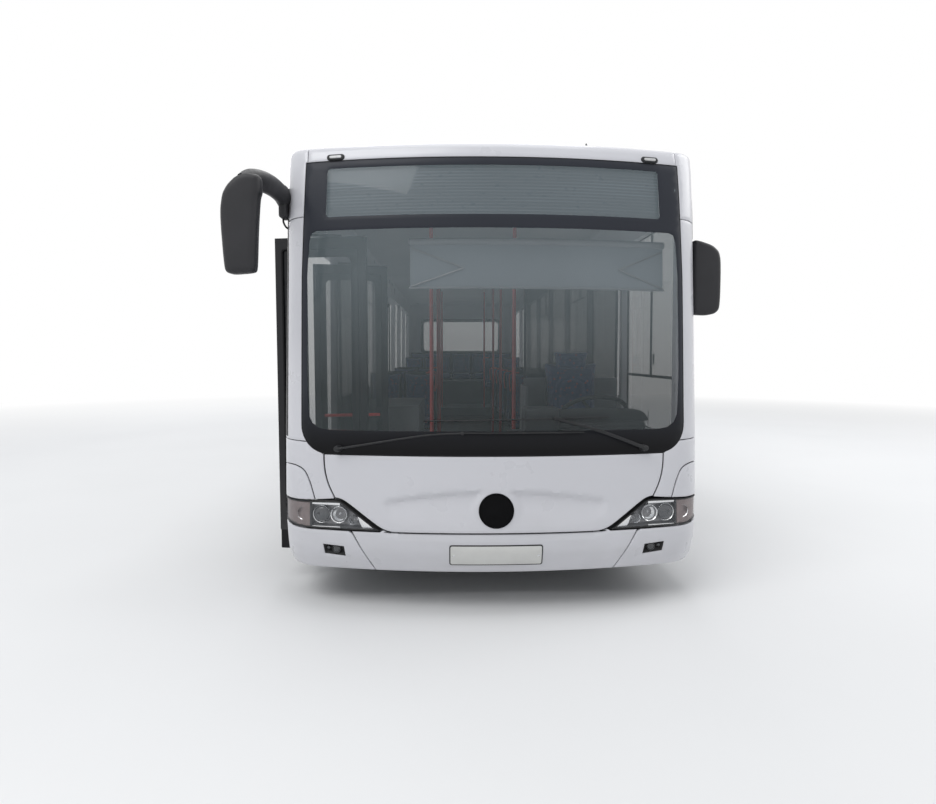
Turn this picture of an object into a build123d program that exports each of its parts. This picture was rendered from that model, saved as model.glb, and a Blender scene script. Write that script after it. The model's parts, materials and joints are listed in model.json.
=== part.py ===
from build123d import *
import os
from math import atan2, cos, radians, sin, sqrt

os.makedirs("parts", exist_ok=True)

# A twelve metre low-floor city bus with two double doors on its kerb side.
# +X is the driver's side, -X the kerb side, the bus faces -Y and stands on Z = 0.
# Sizes are millimetres. Distances called S are measured back from the front face.

# Body
LENGTH = 11950
HALF_WIDTH = 1275
CROWN_Z = 2826
CANT_Z = 2690            # where wall ends and roof begins
CANT_HALF_WIDTH = HALF_WIDTH - 15
CANT_RADIUS = 80         # roof edge
BELT_Z = 1085            # the walls lean in above this height
SKIRT_Z = 300
SKIRT_HALF_WIDTH = HALF_WIDTH - 13
LOW_Z = 240              # lowest edge of the bumpers
LOW_HALF_WIDTH = HALF_WIDTH - 39
WALL = 55
CAP_S = 600              # length of the front cap
REAR_CAP = 450

# Mirrors
MIRROR_REACH = 1470
MIRROR_AHEAD = 120

# Floor and wheels
FLOOR_Z = 300
FLOOR_T = 65
WHEELBASE = 5845
FRONT_WHEEL_S = 2705
TYRE_R = 478
TYRE_W = 276
RIM_R = 286
FRONT_WHEEL_X = HALF_WIDTH - 224.5
TWIN_X = HALF_WIDTH - 358
TWIN_SPACING = 309
KINGPIN_X = FRONT_WHEEL_X - 170.5
ARCH_R = 545
BOX_INNER_X = HALF_WIDTH - 715   # inner wall of the wheel boxes
BOX_T = 25
FRONT_BOX_HALF = 595
REAR_BOX_HALF = 540
BOX_TOP_Z = 1040

# Doors: each leaf hangs on an arm that turns with a post at the edge of the doorway
DOOR_W = 1320
FRONT_DOOR_S = 600
MID_DOOR_AHEAD = 627.5   # from the start of the middle doorway to halfway between the axles
POST_R = 11
POST_INSET = 25          # post axis from the edge of the doorway
ARM = 217                # post axis to leaf pivot
LEAF_OFFSET = 40         # leaf stands this far outside its pivot line
LEAF_T = 36
LEAF_X = HALF_WIDTH - 32     # outer face of a closed leaf
LEAF_LOW_Z = 330
LEAF_HIGH_Z = 2238
LEAF_TRAIL = 188         # pivot to trailing edge
MEET_GAP = 6             # between the two closed leaves
OPEN_DEG = 80
JAMB = 43
JAMB_T = 26
ARM_T = 15
LEAF_PIN_R = 8

# Glass
GLASS_T = 8
GLASS_SET = 5            # glass stands this far inside the skin of the caps
GLASS_ROWS_Z = 2716      # glass is cut from the part of a cap below this
SEAM = 4
FIT = 0.3                # between pieces that rest on or turn in each other

# Windows: low and high edge, and corner radius
WINDOW_LOW_Z = 1120
WINDOW_HIGH_Z = 2460
WINDOW_R = 70
WINDOW_POST = 70

FRONT = -(LENGTH - MIRROR_AHEAD) / 2
REAR = FRONT + LENGTH
ACROSS = (-HALF_WIDTH - 225, HALF_WIDTH + 225)   # wider than the body, for cutters
CLEAR_Z = 3200                                   # above the body, for cutters
POST_X = LEAF_X - LEAF_T / 2 - LEAF_OFFSET
LEAF_LEAD = (DOOR_W - MEET_GAP) / 2 - POST_INSET - ARM
REAR_WHEEL_S = FRONT_WHEEL_S + WHEELBASE
MID_DOOR_S = (FRONT_WHEEL_S + REAR_WHEEL_S) / 2 - MID_DOOR_AHEAD
FRONT_DOOR_END_S = FRONT_DOOR_S + DOOR_W
MID_DOOR_END_S = MID_DOOR_S + DOOR_W
WALL_END_S = LENGTH - REAR_CAP
WHEEL_Z = TYRE_R
DOOR_TOP_Z = LEAF_HIGH_Z + 28


# Small helpers

def y_at(s):
    return FRONT + s


def block(x, y, z):
    """Box between the pairs x, y and z."""
    size = (abs(x[1] - x[0]), abs(y[1] - y[0]), abs(z[1] - z[0]))
    centre = ((x[0] + x[1]) / 2, (y[0] + y[1]) / 2, (z[0] + z[1]) / 2)
    return Pos(*centre) * Box(*size)


def rod(start, end, radius):
    """Round bar from one point to another."""
    a = Vector(*start)
    b = Vector(*end)
    plane = Plane(origin=a, z_dir=b - a)
    return Solid.make_cylinder(radius, (b - a).length, plane)


def both_sides(shape):
    return [shape, mirror(shape, Plane.YZ)]


def fuse(shapes):
    first, *rest = shapes
    return first.fuse(*rest) if rest else first


def mirrored_outline(start, *steps):
    """Closed front-view face, symmetric about x = 0, from its right half's points.

    A step is a point for a line, or a pair of points for an arc (middle, end).
    """
    edges = []
    here = start
    for step in steps:
        if isinstance(step[0], tuple):
            middle, end = step
            edges.append(Edge.make_three_point_arc(at(here), at(middle), at(end)))
        else:
            end = step
            edges.append(Edge.make_line(at(here), at(end)))
        here = end
    left = [edge.mirror(Plane.YZ) for edge in edges]
    ends = []
    for point in (start, here):
        if point[0] > 0:
            ends.append(Edge.make_line(at(point), at((-point[0], point[1]))))
    return Face(Wire(edges + left + ends))


def at(point):
    return Vector(point[0], 0, point[1])


def grown(face, amount):
    """Flat face with its edges moved outward."""
    return offset(face, amount=amount, kind=Kind.INTERSECTION).faces()[0]


def front_cutter(face, y_from=-60, y_to=900):
    """Front-view face pushed through the front cap."""
    moved = face.moved(Pos(0, FRONT + y_from, 0))
    return Solid.extrude(moved, Vector(0, y_to - y_from, 0))


def rounded_window(y, z, radius, x=(900, 1400)):
    """Side-view opening with round corners, cut through the wall at +X."""
    width = y[1] - y[0]
    height = z[1] - z[0]
    plane = Plane(origin=(x[0], (y[0] + y[1]) / 2, (z[0] + z[1]) / 2), x_dir=(0, 1, 0), z_dir=(1, 0, 0))
    sketch = plane * RectangleRounded(width, height, radius)
    return extrude(sketch, x[1] - x[0])


# Cross-section of the body: straight sides, round roof edge, wide crown arc

SIDE_ROWS = [
    # z, half width
    (LOW_Z, LOW_HALF_WIDTH),
    (SKIRT_Z, SKIRT_HALF_WIDTH),
    (600, HALF_WIDTH),
    (BELT_Z, HALF_WIDTH),
    (CANT_Z, CANT_HALF_WIDTH),
]
LEAN = atan2(HALF_WIDTH - CANT_HALF_WIDTH, CANT_Z - BELT_Z)
EDGE_X = CANT_HALF_WIDTH - CANT_RADIUS * cos(LEAN)
EDGE_Z = CANT_Z - CANT_RADIUS * sin(LEAN)
DROP = CROWN_Z - EDGE_Z
CROWN_R = (EDGE_X**2 + DROP**2 - CANT_RADIUS**2) / (2 * (DROP - CANT_RADIUS))
CROWN_CENTRE_Z = CROWN_Z - CROWN_R
CROWN_ANGLE = atan2(EDGE_X, EDGE_Z - CROWN_CENTRE_Z)


def half_width(z, inset=0):
    """Half width of the body at height z, with the skin moved in by inset."""
    join_z = EDGE_Z + (CANT_RADIUS - inset) * cos(CROWN_ANGLE)
    if z >= join_z:
        radius = CROWN_R - inset
        return sqrt(max(radius**2 - (z - CROWN_CENTRE_Z) ** 2, 1))
    if z > CANT_Z:
        radius = CANT_RADIUS - inset
        return EDGE_X + sqrt(radius**2 - (z - EDGE_Z) ** 2)
    for (z0, w0), (z1, w1) in zip(SIDE_ROWS, SIDE_ROWS[1:]):
        if z <= z1:
            return w0 + (w1 - w0) * (max(z, z0) - z0) / (z1 - z0) - inset
    return CANT_HALF_WIDTH - inset


def roof_half_points(inset):
    """Start, middle and end of the edge arc, and the crown point, at +X."""
    radius = CANT_RADIUS - inset
    start = (EDGE_X + radius * cos(LEAN), EDGE_Z + radius * sin(LEAN))
    end = (EDGE_X + radius * sin(CROWN_ANGLE), EDGE_Z + radius * cos(CROWN_ANGLE))
    turn = (LEAN + radians(90) - CROWN_ANGLE) / 2
    middle = (EDGE_X + radius * cos(turn), EDGE_Z + radius * sin(turn))
    return start, middle, end, (0, CROWN_Z - inset)


def roof_skin(s_from, s_to):
    """Roof over a length of the body, as thick as the walls."""
    outer = roof_half_points(0)
    inner = roof_half_points(WALL)
    edges = []
    for start, middle, end, crown in (outer, inner):
        edges.append(Edge.make_three_point_arc(at(start), at(middle), at(end)))
        edges.append(Edge.make_three_point_arc(at(end), at(crown), at((-end[0], end[1]))))
        edges.append(Edge.make_three_point_arc(
            at((-end[0], end[1])), at((-middle[0], middle[1])), at((-start[0], start[1]))))
    for side in (1, -1):
        a = (side * outer[0][0], outer[0][1])
        b = (side * inner[0][0], inner[0][1])
        edges.append(Edge.make_line(at(a), at(b)))
    face = Face(Wire(edges)).moved(Pos(0, y_at(s_from), 0))
    return Solid.extrude(face, Vector(0, s_to - s_from, 0))


def wall_skin(s_from, s_to):
    """Side wall at +X over a length of the body."""
    rows = [(z, w) for z, w in SIDE_ROWS if z >= SKIRT_Z]
    inner_top = roof_half_points(WALL)[0]
    inner = [inner_top] + [(w - WALL, z) for z, w in reversed(rows[:-1])]
    points = [(w, z) for z, w in rows] + inner
    face = Face(Wire.make_polygon([at(point) for point in points], close=True))
    return Solid.extrude(face.moved(Pos(0, y_at(s_from), 0)), Vector(0, s_to - s_from, 0))


# End caps: ruled lofts between level plan outlines of two corner arcs and one wide arc

FRONT_BOW = 4200
FRONT_ROWS = [
    # z, set back, corner radius
    (LOW_Z, 50, 270),
    (SKIRT_Z, 28, 285),
    (385, 4, 300),
    (480, 0, 300),
    (600, 8, 300),
    (960, 30, 300),
    (BELT_Z, 40, 300),
    (1885, 112, 285),
    (2600, 206, 240),
    (2670, 226, 234),
    (2700, 238, 225),
    (2716, 258, 200),
    (2735, 318, 130),
    (2757, 392, 60),
    (2778, 462, 40),
    (2800, 535, 30),
    (2815, 578, 30),
    (2823, 596, 30),
]
REAR_BOW = 9000
REAR_ROWS = [
    # z, set back, corner radius
    (LOW_Z, 60, 190),
    (SKIRT_Z, 25, 200),
    (480, 0, 200),
    (BELT_Z, 0, 200),
    (1700, 10, 200),
    (2600, 55, 190),
    (2670, 66, 186),
    (2710, 84, 180),
    (2740, 115, 170),
    (2762, 160, 160),
    (2785, 230, 140),
    (2805, 310, 120),
    (2818, 370, 90),
    (2823, 400, 60),
]
SMALL_CORNER = 5         # least corner radius of an inner outline


def plan_outline(z, width, set_back, corner, bow, depth):
    """Level outline: wide bow in front, two round corners, straight sides."""
    corner = min(corner, width * 0.6)
    corner_y = set_back + bow - sqrt((bow - corner) ** 2 - (width - corner) ** 2)
    bow_centre = Vector(0, set_back + bow, z)
    corner_centre = Vector(width - corner, corner_y, z)
    toward = (corner_centre - bow_centre).normalized()
    meet = bow_centre + toward * bow
    half_turn = atan2(toward.Y, toward.X) / 2
    middle = corner_centre + Vector(cos(half_turn), sin(half_turn), 0) * corner
    side = Vector(width, corner_y, z)
    back = Vector(width, depth, z)

    def flip(point):
        return Vector(-point.X, point.Y, point.Z)

    return Wire([
        Edge.make_line(back, side),
        Edge.make_three_point_arc(side, middle, meet),
        Edge.make_three_point_arc(meet, Vector(0, set_back, z), flip(meet)),
        Edge.make_three_point_arc(flip(meet), flip(middle), flip(side)),
        Edge.make_line(flip(side), flip(back)),
        Edge.make_line(flip(back), back),
    ])


def cap_form(rows, bow, inset, depth, below=0):
    """Solid end form with its skin moved in by inset."""
    roof_share = (CROWN_Z - CANT_Z - inset) / (CROWN_Z - CANT_Z)
    outlines = []
    for z, set_back, corner in rows:
        level = z if z <= CANT_Z else CANT_Z + (z - CANT_Z) * roof_share
        if z == rows[0][0]:
            level -= below
        width = half_width(level, inset)
        inner_corner = max(corner - inset, SMALL_CORNER)
        outlines.append(plan_outline(level, width, set_back + inset, inner_corner, bow - inset, depth))
    return Solid.make_loft(outlines, ruled=True)


def cap_shell(rows, bow, length, outside, inside):
    """Skin of an end cap between two insets, open at its back and below."""
    depth = length + 300
    outer = cap_form(rows, bow, outside, depth)
    inner = cap_form(rows, bow, inside, depth + 50, below=20)
    keep = block(ACROSS, (-100, length), (0, CLEAR_Z))
    return (outer - inner) & keep


front_shell = Pos(0, FRONT, 0) * cap_shell(FRONT_ROWS, FRONT_BOW, CAP_S, 0, WALL)
front_glass_rows = [row for row in FRONT_ROWS if row[0] <= GLASS_ROWS_Z]
front_glass_shell = Pos(0, FRONT, 0) * cap_shell(front_glass_rows, FRONT_BOW, CAP_S, GLASS_SET, GLASS_SET + GLASS_T)


def to_rear(shape):
    return Pos(0, REAR, 0) * mirror(shape, Plane.XZ)


rear_shell = to_rear(cap_shell(REAR_ROWS, REAR_BOW, REAR_CAP, 0, WALL))
rear_glass_rows = [row for row in REAR_ROWS if row[0] <= GLASS_ROWS_Z]
rear_glass_shell = to_rear(cap_shell(rear_glass_rows, REAR_BOW, REAR_CAP, GLASS_SET, GLASS_SET + GLASS_T))


# Front panels, cut from the cap by front-view outlines

SCREEN_LOW_Z = 919
SCREEN_HIGH_Z = 2622
SCREEN_HIGH_X = 1108
PILLAR_X = 1130
TOP_PANEL_X = 1100
TOP_SEAM = 3
CORNER_SEAM_Z = 985
BUMPER_HIGH_Z = 474
FLAP_LOW_Z = 480
FLAP_GAP = 8
FLAP_T = 20
FLAP_HIGH_Z = 912


def screen_outline(grow):
    """Windscreen with large lower corners."""
    return mirrored_outline(
        (975, SCREEN_LOW_Z - grow),
        ((1085 + grow * 0.7, 968 - grow * 0.7), (PILLAR_X + grow, 1085)),
        (PILLAR_X + grow, 1950),
        (SCREEN_HIGH_X + grow, SCREEN_HIGH_Z + grow),
    )


FLAP_SIDE = [
    # x, z down the seam of the front flap, along the top of the lamp to the bumper
    (988, FLAP_HIGH_Z),
    (985, 790),
    (920, 665),
    (868, 652),
    (756, 571),
    (680, 516),
    (590, FLAP_LOW_Z),
]
LAMP = [
    # x, z round the lamp in front view
    (1400, 624),
    (1149, 636),
    (932, 648),
    (884, 638),
    (768, 556),
    (692, 500),
    (662, FLAP_LOW_Z + 2),
    (1170, FLAP_LOW_Z + 2),
    (1217, 490),
    (1400, 490),
]
LAMP_END_S = 430
FOG_LAMP = [(868, 322), (992, 332), (1000, 392), (876, 384)]


def polygon_face(points):
    return Face(Wire.make_polygon([at(point) for point in points], close=True))


flap_face = mirrored_outline(FLAP_SIDE[0], *FLAP_SIDE[1:])
flap_region = front_cutter(flap_face)
flap_hole = front_cutter(grown(flap_face, FLAP_GAP))
lamp_regions = both_sides(front_cutter(polygon_face(LAMP), y_to=LAMP_END_S))
lamp_holes = both_sides(front_cutter(grown(polygon_face(LAMP), FIT), y_to=LAMP_END_S + FIT))
fog_regions = both_sides(front_cutter(polygon_face(FOG_LAMP)))
fog_holes = both_sides(front_cutter(grown(polygon_face(FOG_LAMP), FIT)))
screen_region = front_cutter(screen_outline(0))
screen_hole = front_cutter(screen_outline(FIT))

y_cap = (FRONT - 100, FRONT + CAP_S)
front_top = front_shell & block((-TOP_PANEL_X, TOP_PANEL_X), y_cap, (SCREEN_HIGH_Z + FIT, CLEAR_Z))
above_corner_seam = block(ACROSS, y_cap, (CORNER_SEAM_Z + SEAM / 2, CLEAR_Z))
front_corners = front_shell & above_corner_seam
top_gap = (-TOP_PANEL_X - TOP_SEAM, TOP_PANEL_X + TOP_SEAM)
front_corners -= block(top_gap, y_cap, (SCREEN_HIGH_Z - 100, CLEAR_Z))
front_corners -= screen_hole
wing_band = block(ACROSS, y_cap, (BUMPER_HIGH_Z, CORNER_SEAM_Z - SEAM / 2))
front_wings = front_shell & wing_band
front_wings -= flap_hole
front_wings -= screen_hole
for hole in lamp_holes:
    front_wings -= hole
flap_shell = Pos(0, FRONT, 0) * cap_shell(front_glass_rows, FRONT_BOW, CAP_S, 0, FLAP_T)
front_flap = flap_shell & flap_region
FLAP_HINGE_Y = FRONT + 31
FLAP_HINGE_Z = FLAP_HIGH_Z - 4
FLAP_BARREL_R = 4
for x0, x1 in ((-100, -40), (40, 100)):
    barrel = rod((x0, FLAP_HINGE_Y, FLAP_HINGE_Z), (x1, FLAP_HINGE_Y, FLAP_HINGE_Z), FLAP_BARREL_R)
    front_flap = front_flap.fuse(barrel)
windscreen = front_glass_shell & screen_region
bumper_front = front_shell & block(ACROSS, y_cap, (LOW_Z, BUMPER_HIGH_Z))
PLATE_SPACING = 480
PLATE_HOLE_R = 3.5
PLATE_FRONT_Z = 350
PLATE_REAR_Z = 430
for x in (-PLATE_SPACING / 2, PLATE_SPACING / 2):
    bumper_front -= rod((x, FRONT - 50, PLATE_FRONT_Z), (x, FRONT + 200, PLATE_FRONT_Z), PLATE_HOLE_R)
for hole in fog_holes:
    bumper_front -= hole
STOP_X = 150             # rubber stops under the flap
STOP_Y = FRONT + 11
STOP_R = 6
for x in (-STOP_X, STOP_X):
    stop = rod((x, STOP_Y, BUMPER_HIGH_Z - 5), (x, STOP_Y, FLAP_LOW_Z - FIT), STOP_R)
    bumper_front = bumper_front.fuse(stop)
lamp_parts = []
for region in lamp_regions + fog_regions:
    lamp_parts += (front_shell & region).solids()
headlamps = Compound(lamp_parts)


# Side walls

def window_row(first, last, count):
    """First and last S of equal openings with posts between them."""
    width = (last - first - (count - 1) * WINDOW_POST) / count
    starts = [first + i * (width + WINDOW_POST) for i in range(count)]
    return [(start, start + width) for start in starts]


LAST_WINDOW_S = WALL_END_S - 170
WINDOWS_KERB = window_row(FRONT_DOOR_END_S + 40, MID_DOOR_S - 100, 2)
WINDOWS_KERB += window_row(MID_DOOR_END_S + 100, LAST_WINDOW_S, 4)
DRIVER_WINDOW = (680, 1930)
DRIVER_WINDOW_LOW_Z = 930
DRIVER_WINDOW_HIGH_Z = WINDOW_HIGH_Z - 60
WINDOWS_ROAD = window_row(DRIVER_WINDOW[1] + 80, LAST_WINDOW_S, 7)
HEADER_X = HALF_WIDTH - 235      # inner face of the beam over a doorway
HEADER_HIGH_Z = 2440


def arch_cutter(s):
    """Round wheel opening at +X with a flat lower part."""
    centre = (900, y_at(s), WHEEL_Z)
    round_part = rod(centre, (1400, y_at(s), WHEEL_Z), ARCH_R)
    return round_part.fuse(block((900, 1400), (y_at(s) - ARCH_R, y_at(s) + ARCH_R), (0, WHEEL_Z)))


def side_window(opening):
    return rounded_window((y_at(opening[0]), y_at(opening[1])), (WINDOW_LOW_Z, WINDOW_HIGH_Z), WINDOW_R)


def glass_skin():
    """Sheet of glass in the leaning part of the wall at +X, flush with its face."""
    rows = [(BELT_Z - 300, HALF_WIDTH), (BELT_Z, HALF_WIDTH), (CANT_Z, CANT_HALF_WIDTH)]
    points = [(w - 3, z) for z, w in rows] + [(w - 3 - GLASS_T, z) for z, w in reversed(rows)]
    face = Face(Wire.make_polygon([at(point) for point in points], close=True))
    return Solid.extrude(face.moved(Pos(0, y_at(CAP_S), 0)), Vector(0, WALL_END_S - CAP_S, 0))


def build_wall(cuts):
    """Side wall at +X with these cuts and its wheel arches."""
    wall = wall_skin(CAP_S, WALL_END_S)
    for cut in cuts:
        wall -= cut
    for s in (FRONT_WHEEL_S, REAR_WHEEL_S):
        wall -= arch_cutter(s)
    return wall


door_cuts = []
jambs = []
for s0 in (FRONT_DOOR_S, MID_DOOR_S):
    y0 = y_at(s0)
    y1 = y0 + DOOR_W
    door_cuts.append(block((1000, 1400), (y0, y1), (0, DOOR_TOP_Z)))
    header = block((HEADER_X, CANT_HALF_WIDTH - WALL + 8), (y0, y1), (DOOR_TOP_Z, HEADER_HIGH_Z))
    jambs.append(header)
    for ya, yb in ((y0, y0 + JAMB), (y1 - JAMB, y1)):
        jambs.append(block((LEAF_X - JAMB_T, LEAF_X), (ya, yb), (FLOOR_Z, DOOR_TOP_Z)))

kerb_windows = [side_window(opening) for opening in WINDOWS_KERB]
wall_kerb = mirror(fuse([build_wall(kerb_windows + door_cuts)] + jambs), Plane.YZ)
driver_y = (y_at(DRIVER_WINDOW[0]), y_at(DRIVER_WINDOW[1]))
driver_window = rounded_window(driver_y, (DRIVER_WINDOW_LOW_Z, DRIVER_WINDOW_HIGH_Z), WINDOW_R)
road_windows = [side_window(opening) for opening in WINDOWS_ROAD] + [driver_window]
wall_road = build_wall(road_windows)
glass_sheet = glass_skin()
glass_kerb = Compound([mirror(s, Plane.YZ) for w in kerb_windows for s in (glass_sheet & w).solids()])
glass_road = Compound([s for w in road_windows for s in (glass_sheet & w).solids()])


# Roof with two hatches and the air-conditioning housing

HATCH = 780
HATCH_RIM = 30           # lid's edge beyond the opening
RIM_T = 22
RIM_LOW_Z = CROWN_Z - 70
LID_T = 30
LID_CROWN_T = 14
LID_CROWN_IN = 60        # crown's edge from the lid's edge
HATCH_S = {"front": FRONT_WHEEL_S + 1195, "rear": REAR_WHEEL_S - 850}
HATCH_LOW_Z = CROWN_Z + 22 + FIT
HINGE_R = 7.5


def hatch_opening(s):
    half = HATCH / 2 - HATCH_RIM
    return block((-half, half), (y_at(s) - half, y_at(s) + half), (RIM_LOW_Z - 50, CLEAR_Z))


def hatch_rim(s):
    """Frame round the opening that the lid shuts on."""
    half = HATCH / 2 - HATCH_RIM + RIM_T
    outer = block((-half, half), (y_at(s) - half, y_at(s) + half), (RIM_LOW_Z, HATCH_LOW_Z - FIT))
    return outer - hatch_opening(s)


def hatch_lid(s):
    """Shallow pan that covers the rim, with two hinge barrels at its rear edge."""
    half = HATCH / 2
    inner = half - LID_CROWN_IN
    y = y_at(s)
    top_z = HATCH_LOW_Z + LID_T
    lid = block((-half, half), (y - half, y + half), (HATCH_LOW_Z, top_z))
    crown = block((-inner, inner), (y - inner, y + inner), (top_z, top_z + LID_CROWN_T))
    barrels = []
    for x0, x1 in ((-220, -140), (140, 220)):
        barrels.append(rod((x0, y + half, HATCH_LOW_Z), (x1, y + half, HATCH_LOW_Z), HINGE_R))
    return fuse([lid, crown] + barrels)


roof = roof_skin(CAP_S, WALL_END_S)
for s in HATCH_S.values():
    roof = roof.fuse(hatch_rim(s))
    roof -= hatch_opening(s)
AC_S = (1500, 3050)
AC_HALF = 800
AC_HIGH_Z = CROWN_Z + 230
AC_CHAMFER = 60
roof_unit = block((-AC_HALF, AC_HALF), (y_at(AC_S[0]), y_at(AC_S[1])), (CROWN_Z - 80, AC_HIGH_Z))
roof_unit = chamfer(roof_unit.edges().group_by(Axis.Z)[-1], AC_CHAMFER)
roof_unit = roof_unit - roof_skin(CAP_S, WALL_END_S)
roof_unit = max(roof_unit.solids(), key=lambda solid: solid.center().Z)


# Rear panels

REAR_GLASS_HALF = 960
REAR_GLASS_Z = (1560, 2380)
REAR_GLASS_R = 90
ENGINE_FLAP_HALF = 1010
ENGINE_FLAP_Z = (560, 1400)
ENGINE_FLAP_GAP = 6
ENGINE_BARREL_R = 5
REAR_BUMPER_HIGH_Z = 545
TAIL_LAMP_X = (1110, 1230)
TAIL_LAMP_Z = (700, 1150)
TAIL_GAP = 2
LATCH_Z = 640
LATCH_Y = REAR - 85
LATCH_R = 8
y_rear_cap = (REAR - REAR_CAP, REAR + 50)


def rear_cutter(x, z):
    return block(x, (REAR - 500, REAR + 100), z)


def rear_window(half):
    low_z, high_z = REAR_GLASS_Z
    plane = Plane(origin=(0, REAR - 500, (low_z + high_z) / 2), x_dir=(1, 0, 0), z_dir=(0, 1, 0))
    return extrude(plane * RectangleRounded(2 * half, high_z - low_z, REAR_GLASS_R), 600)


tail_regions = both_sides(rear_cutter(TAIL_LAMP_X, TAIL_LAMP_Z))
tail_hole_x = (TAIL_LAMP_X[0] - TAIL_GAP, TAIL_LAMP_X[1] + TAIL_GAP)
tail_hole_z = (TAIL_LAMP_Z[0] - TAIL_GAP, TAIL_LAMP_Z[1] + TAIL_GAP)
flap_hole_x = (-ENGINE_FLAP_HALF - ENGINE_FLAP_GAP, ENGINE_FLAP_HALF + ENGINE_FLAP_GAP)
rear_wall = rear_shell & block(ACROSS, y_rear_cap, (REAR_BUMPER_HIGH_Z, CLEAR_Z))
rear_wall -= rear_window(REAR_GLASS_HALF)
rear_wall -= rear_cutter(flap_hole_x, (0, ENGINE_FLAP_Z[1] + 10))
for hole in both_sides(rear_cutter(tail_hole_x, tail_hole_z)):
    rear_wall -= hole
for side in (1, -1):
    latch_x = (side * (ENGINE_FLAP_HALF + FIT), side * (ENGINE_FLAP_HALF + 2 * ENGINE_FLAP_GAP))
    rear_wall = rear_wall.fuse(rod((latch_x[0], LATCH_Y, LATCH_Z), (latch_x[1], LATCH_Y, LATCH_Z), LATCH_R))
rear_window_pane = rear_glass_shell & rear_window(REAR_GLASS_HALF - 2)
engine_flap = rear_shell & rear_cutter((-ENGINE_FLAP_HALF, ENGINE_FLAP_HALF), ENGINE_FLAP_Z)
for x0, x1 in ((-140, -40), (40, 140)):
    barrel = rod((x0, REAR - 5, ENGINE_FLAP_Z[1]), (x1, REAR - 5, ENGINE_FLAP_Z[1]), ENGINE_BARREL_R)
    engine_flap = engine_flap.fuse(barrel)
bumper_rear = rear_shell & block(ACROSS, y_rear_cap, (LOW_Z, REAR_BUMPER_HIGH_Z))
for x in (-PLATE_SPACING / 2, PLATE_SPACING / 2):
    bumper_rear -= rod((x, REAR + 50, PLATE_REAR_Z), (x, REAR - 200, PLATE_REAR_Z), PLATE_HOLE_R)
tail_parts = []
for region in tail_regions:
    pieces = (rear_shell & region).solids()
    tail_parts.append(max(pieces, key=lambda solid: solid.volume))
tail_lamps = Compound(tail_parts)


# Floor, wheel boxes, raised rear floor and engine bearers

RISER_T = 60
REAR_FLOOR_S = REAR_WHEEL_S + REAR_BOX_HALF + BOX_T + RISER_T + FIT
REAR_FLOOR_Z = 470
DECK_SHARE = 0.3873      # of the length behind the step, where the engine deck begins
DECK_S = REAR_FLOOR_S + DECK_SHARE * (LENGTH - REAR_FLOOR_S)
DECK_Z = 960
DECK_END_S = LENGTH - 190
FLOOR_HALF = HALF_WIDTH - WALL - 4
REAR_HALF = FLOOR_HALF - 16
BEARER_X = (620, 700)
BEARER_Z = (320, 412)
FLOOR_FRONT_S = 330
JACK_X = 480
JACK_PAD = 110
JACK_Z = 205
JACK_S = (1850, REAR_WHEEL_S + 450)


def wheel_box(s, half, grow=0):
    """Closed outline of the box over a wheel at +X, and the hollow in it."""
    y = (y_at(s) - half, y_at(s) + half)
    hollow = block((BOX_INNER_X, HALF_WIDTH + 25), y, (0, BOX_TOP_Z - BOX_T))
    outline = block(
        (BOX_INNER_X - BOX_T - grow, HALF_WIDTH - WALL - FIT + grow),
        (y[0] - BOX_T - grow, y[1] + BOX_T + grow),
        (FLOOR_Z - FLOOR_T - grow, BOX_TOP_Z),
    )
    return outline, hollow


floor = fuse([
    block((-1120, 1120), (y_at(FLOOR_FRONT_S), y_at(CAP_S)), (FLOOR_Z - FLOOR_T, FLOOR_Z)),
    block((-FLOOR_HALF, FLOOR_HALF), (y_at(CAP_S), y_at(REAR_FLOOR_S - RISER_T)), (FLOOR_Z - FLOOR_T, FLOOR_Z)),
])
box_parts = []
for s, half in ((FRONT_WHEEL_S, FRONT_BOX_HALF), (REAR_WHEEL_S, REAR_BOX_HALF)):
    outline, hollow = wheel_box(s, half)
    box_parts += both_sides(outline - hollow)
    for hole in both_sides(wheel_box(s, half, FIT)[0]):
        floor -= hole
wheel_boxes = Compound([solid for shape in box_parts for solid in (shape - wall_kerb - wall_road).solids()])
for s in JACK_S:
    for x in (-JACK_X, JACK_X):
        pad_x = (x - JACK_PAD / 2, x + JACK_PAD / 2)
        pad_y = (y_at(s) - JACK_PAD / 2, y_at(s) + JACK_PAD / 2)
        floor = floor.fuse(block(pad_x, pad_y, (JACK_Z, FLOOR_Z)))
floor = floor - wall_kerb - wall_road
riser_y = (y_at(REAR_FLOOR_S - RISER_T) + FIT, y_at(REAR_FLOOR_S))
rear_parts = [
    block((-REAR_HALF, REAR_HALF), (riser_y[0], y_at(DECK_S)), (REAR_FLOOR_Z - 60, REAR_FLOOR_Z)),
    block((-REAR_HALF, REAR_HALF), riser_y, (FLOOR_Z - FLOOR_T, REAR_FLOOR_Z)),
    block((-REAR_HALF, REAR_HALF), (y_at(DECK_S - 40), y_at(DECK_S)), (REAR_FLOOR_Z - 60, DECK_Z)),
    block((-REAR_HALF + 50, REAR_HALF - 50), (y_at(DECK_S - 40), y_at(DECK_END_S)), (DECK_Z - 50, DECK_Z)),
]
rear_parts += both_sides(block(BEARER_X, (riser_y[0], y_at(DECK_END_S)), BEARER_Z))
rear_floor = fuse(rear_parts) - wall_kerb - wall_road
engine = block((-700, 700), (y_at(DECK_S + 110), y_at(LENGTH - 320)), (BEARER_Z[1], DECK_Z - 60))


# Wheels

def ring_profile(points, x_centre, y, z):
    """Solid of revolution about the wheel axis from (offset along X, radius) points."""
    face = Face(Wire.make_polygon([Vector(a, 0, r) for a, r in points], close=True))
    turned = Solid.revolve(face, 360, Axis((0, 0, 0), (1, 0, 0)))
    return turned.moved(Pos(x_centre, y, z))


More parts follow.
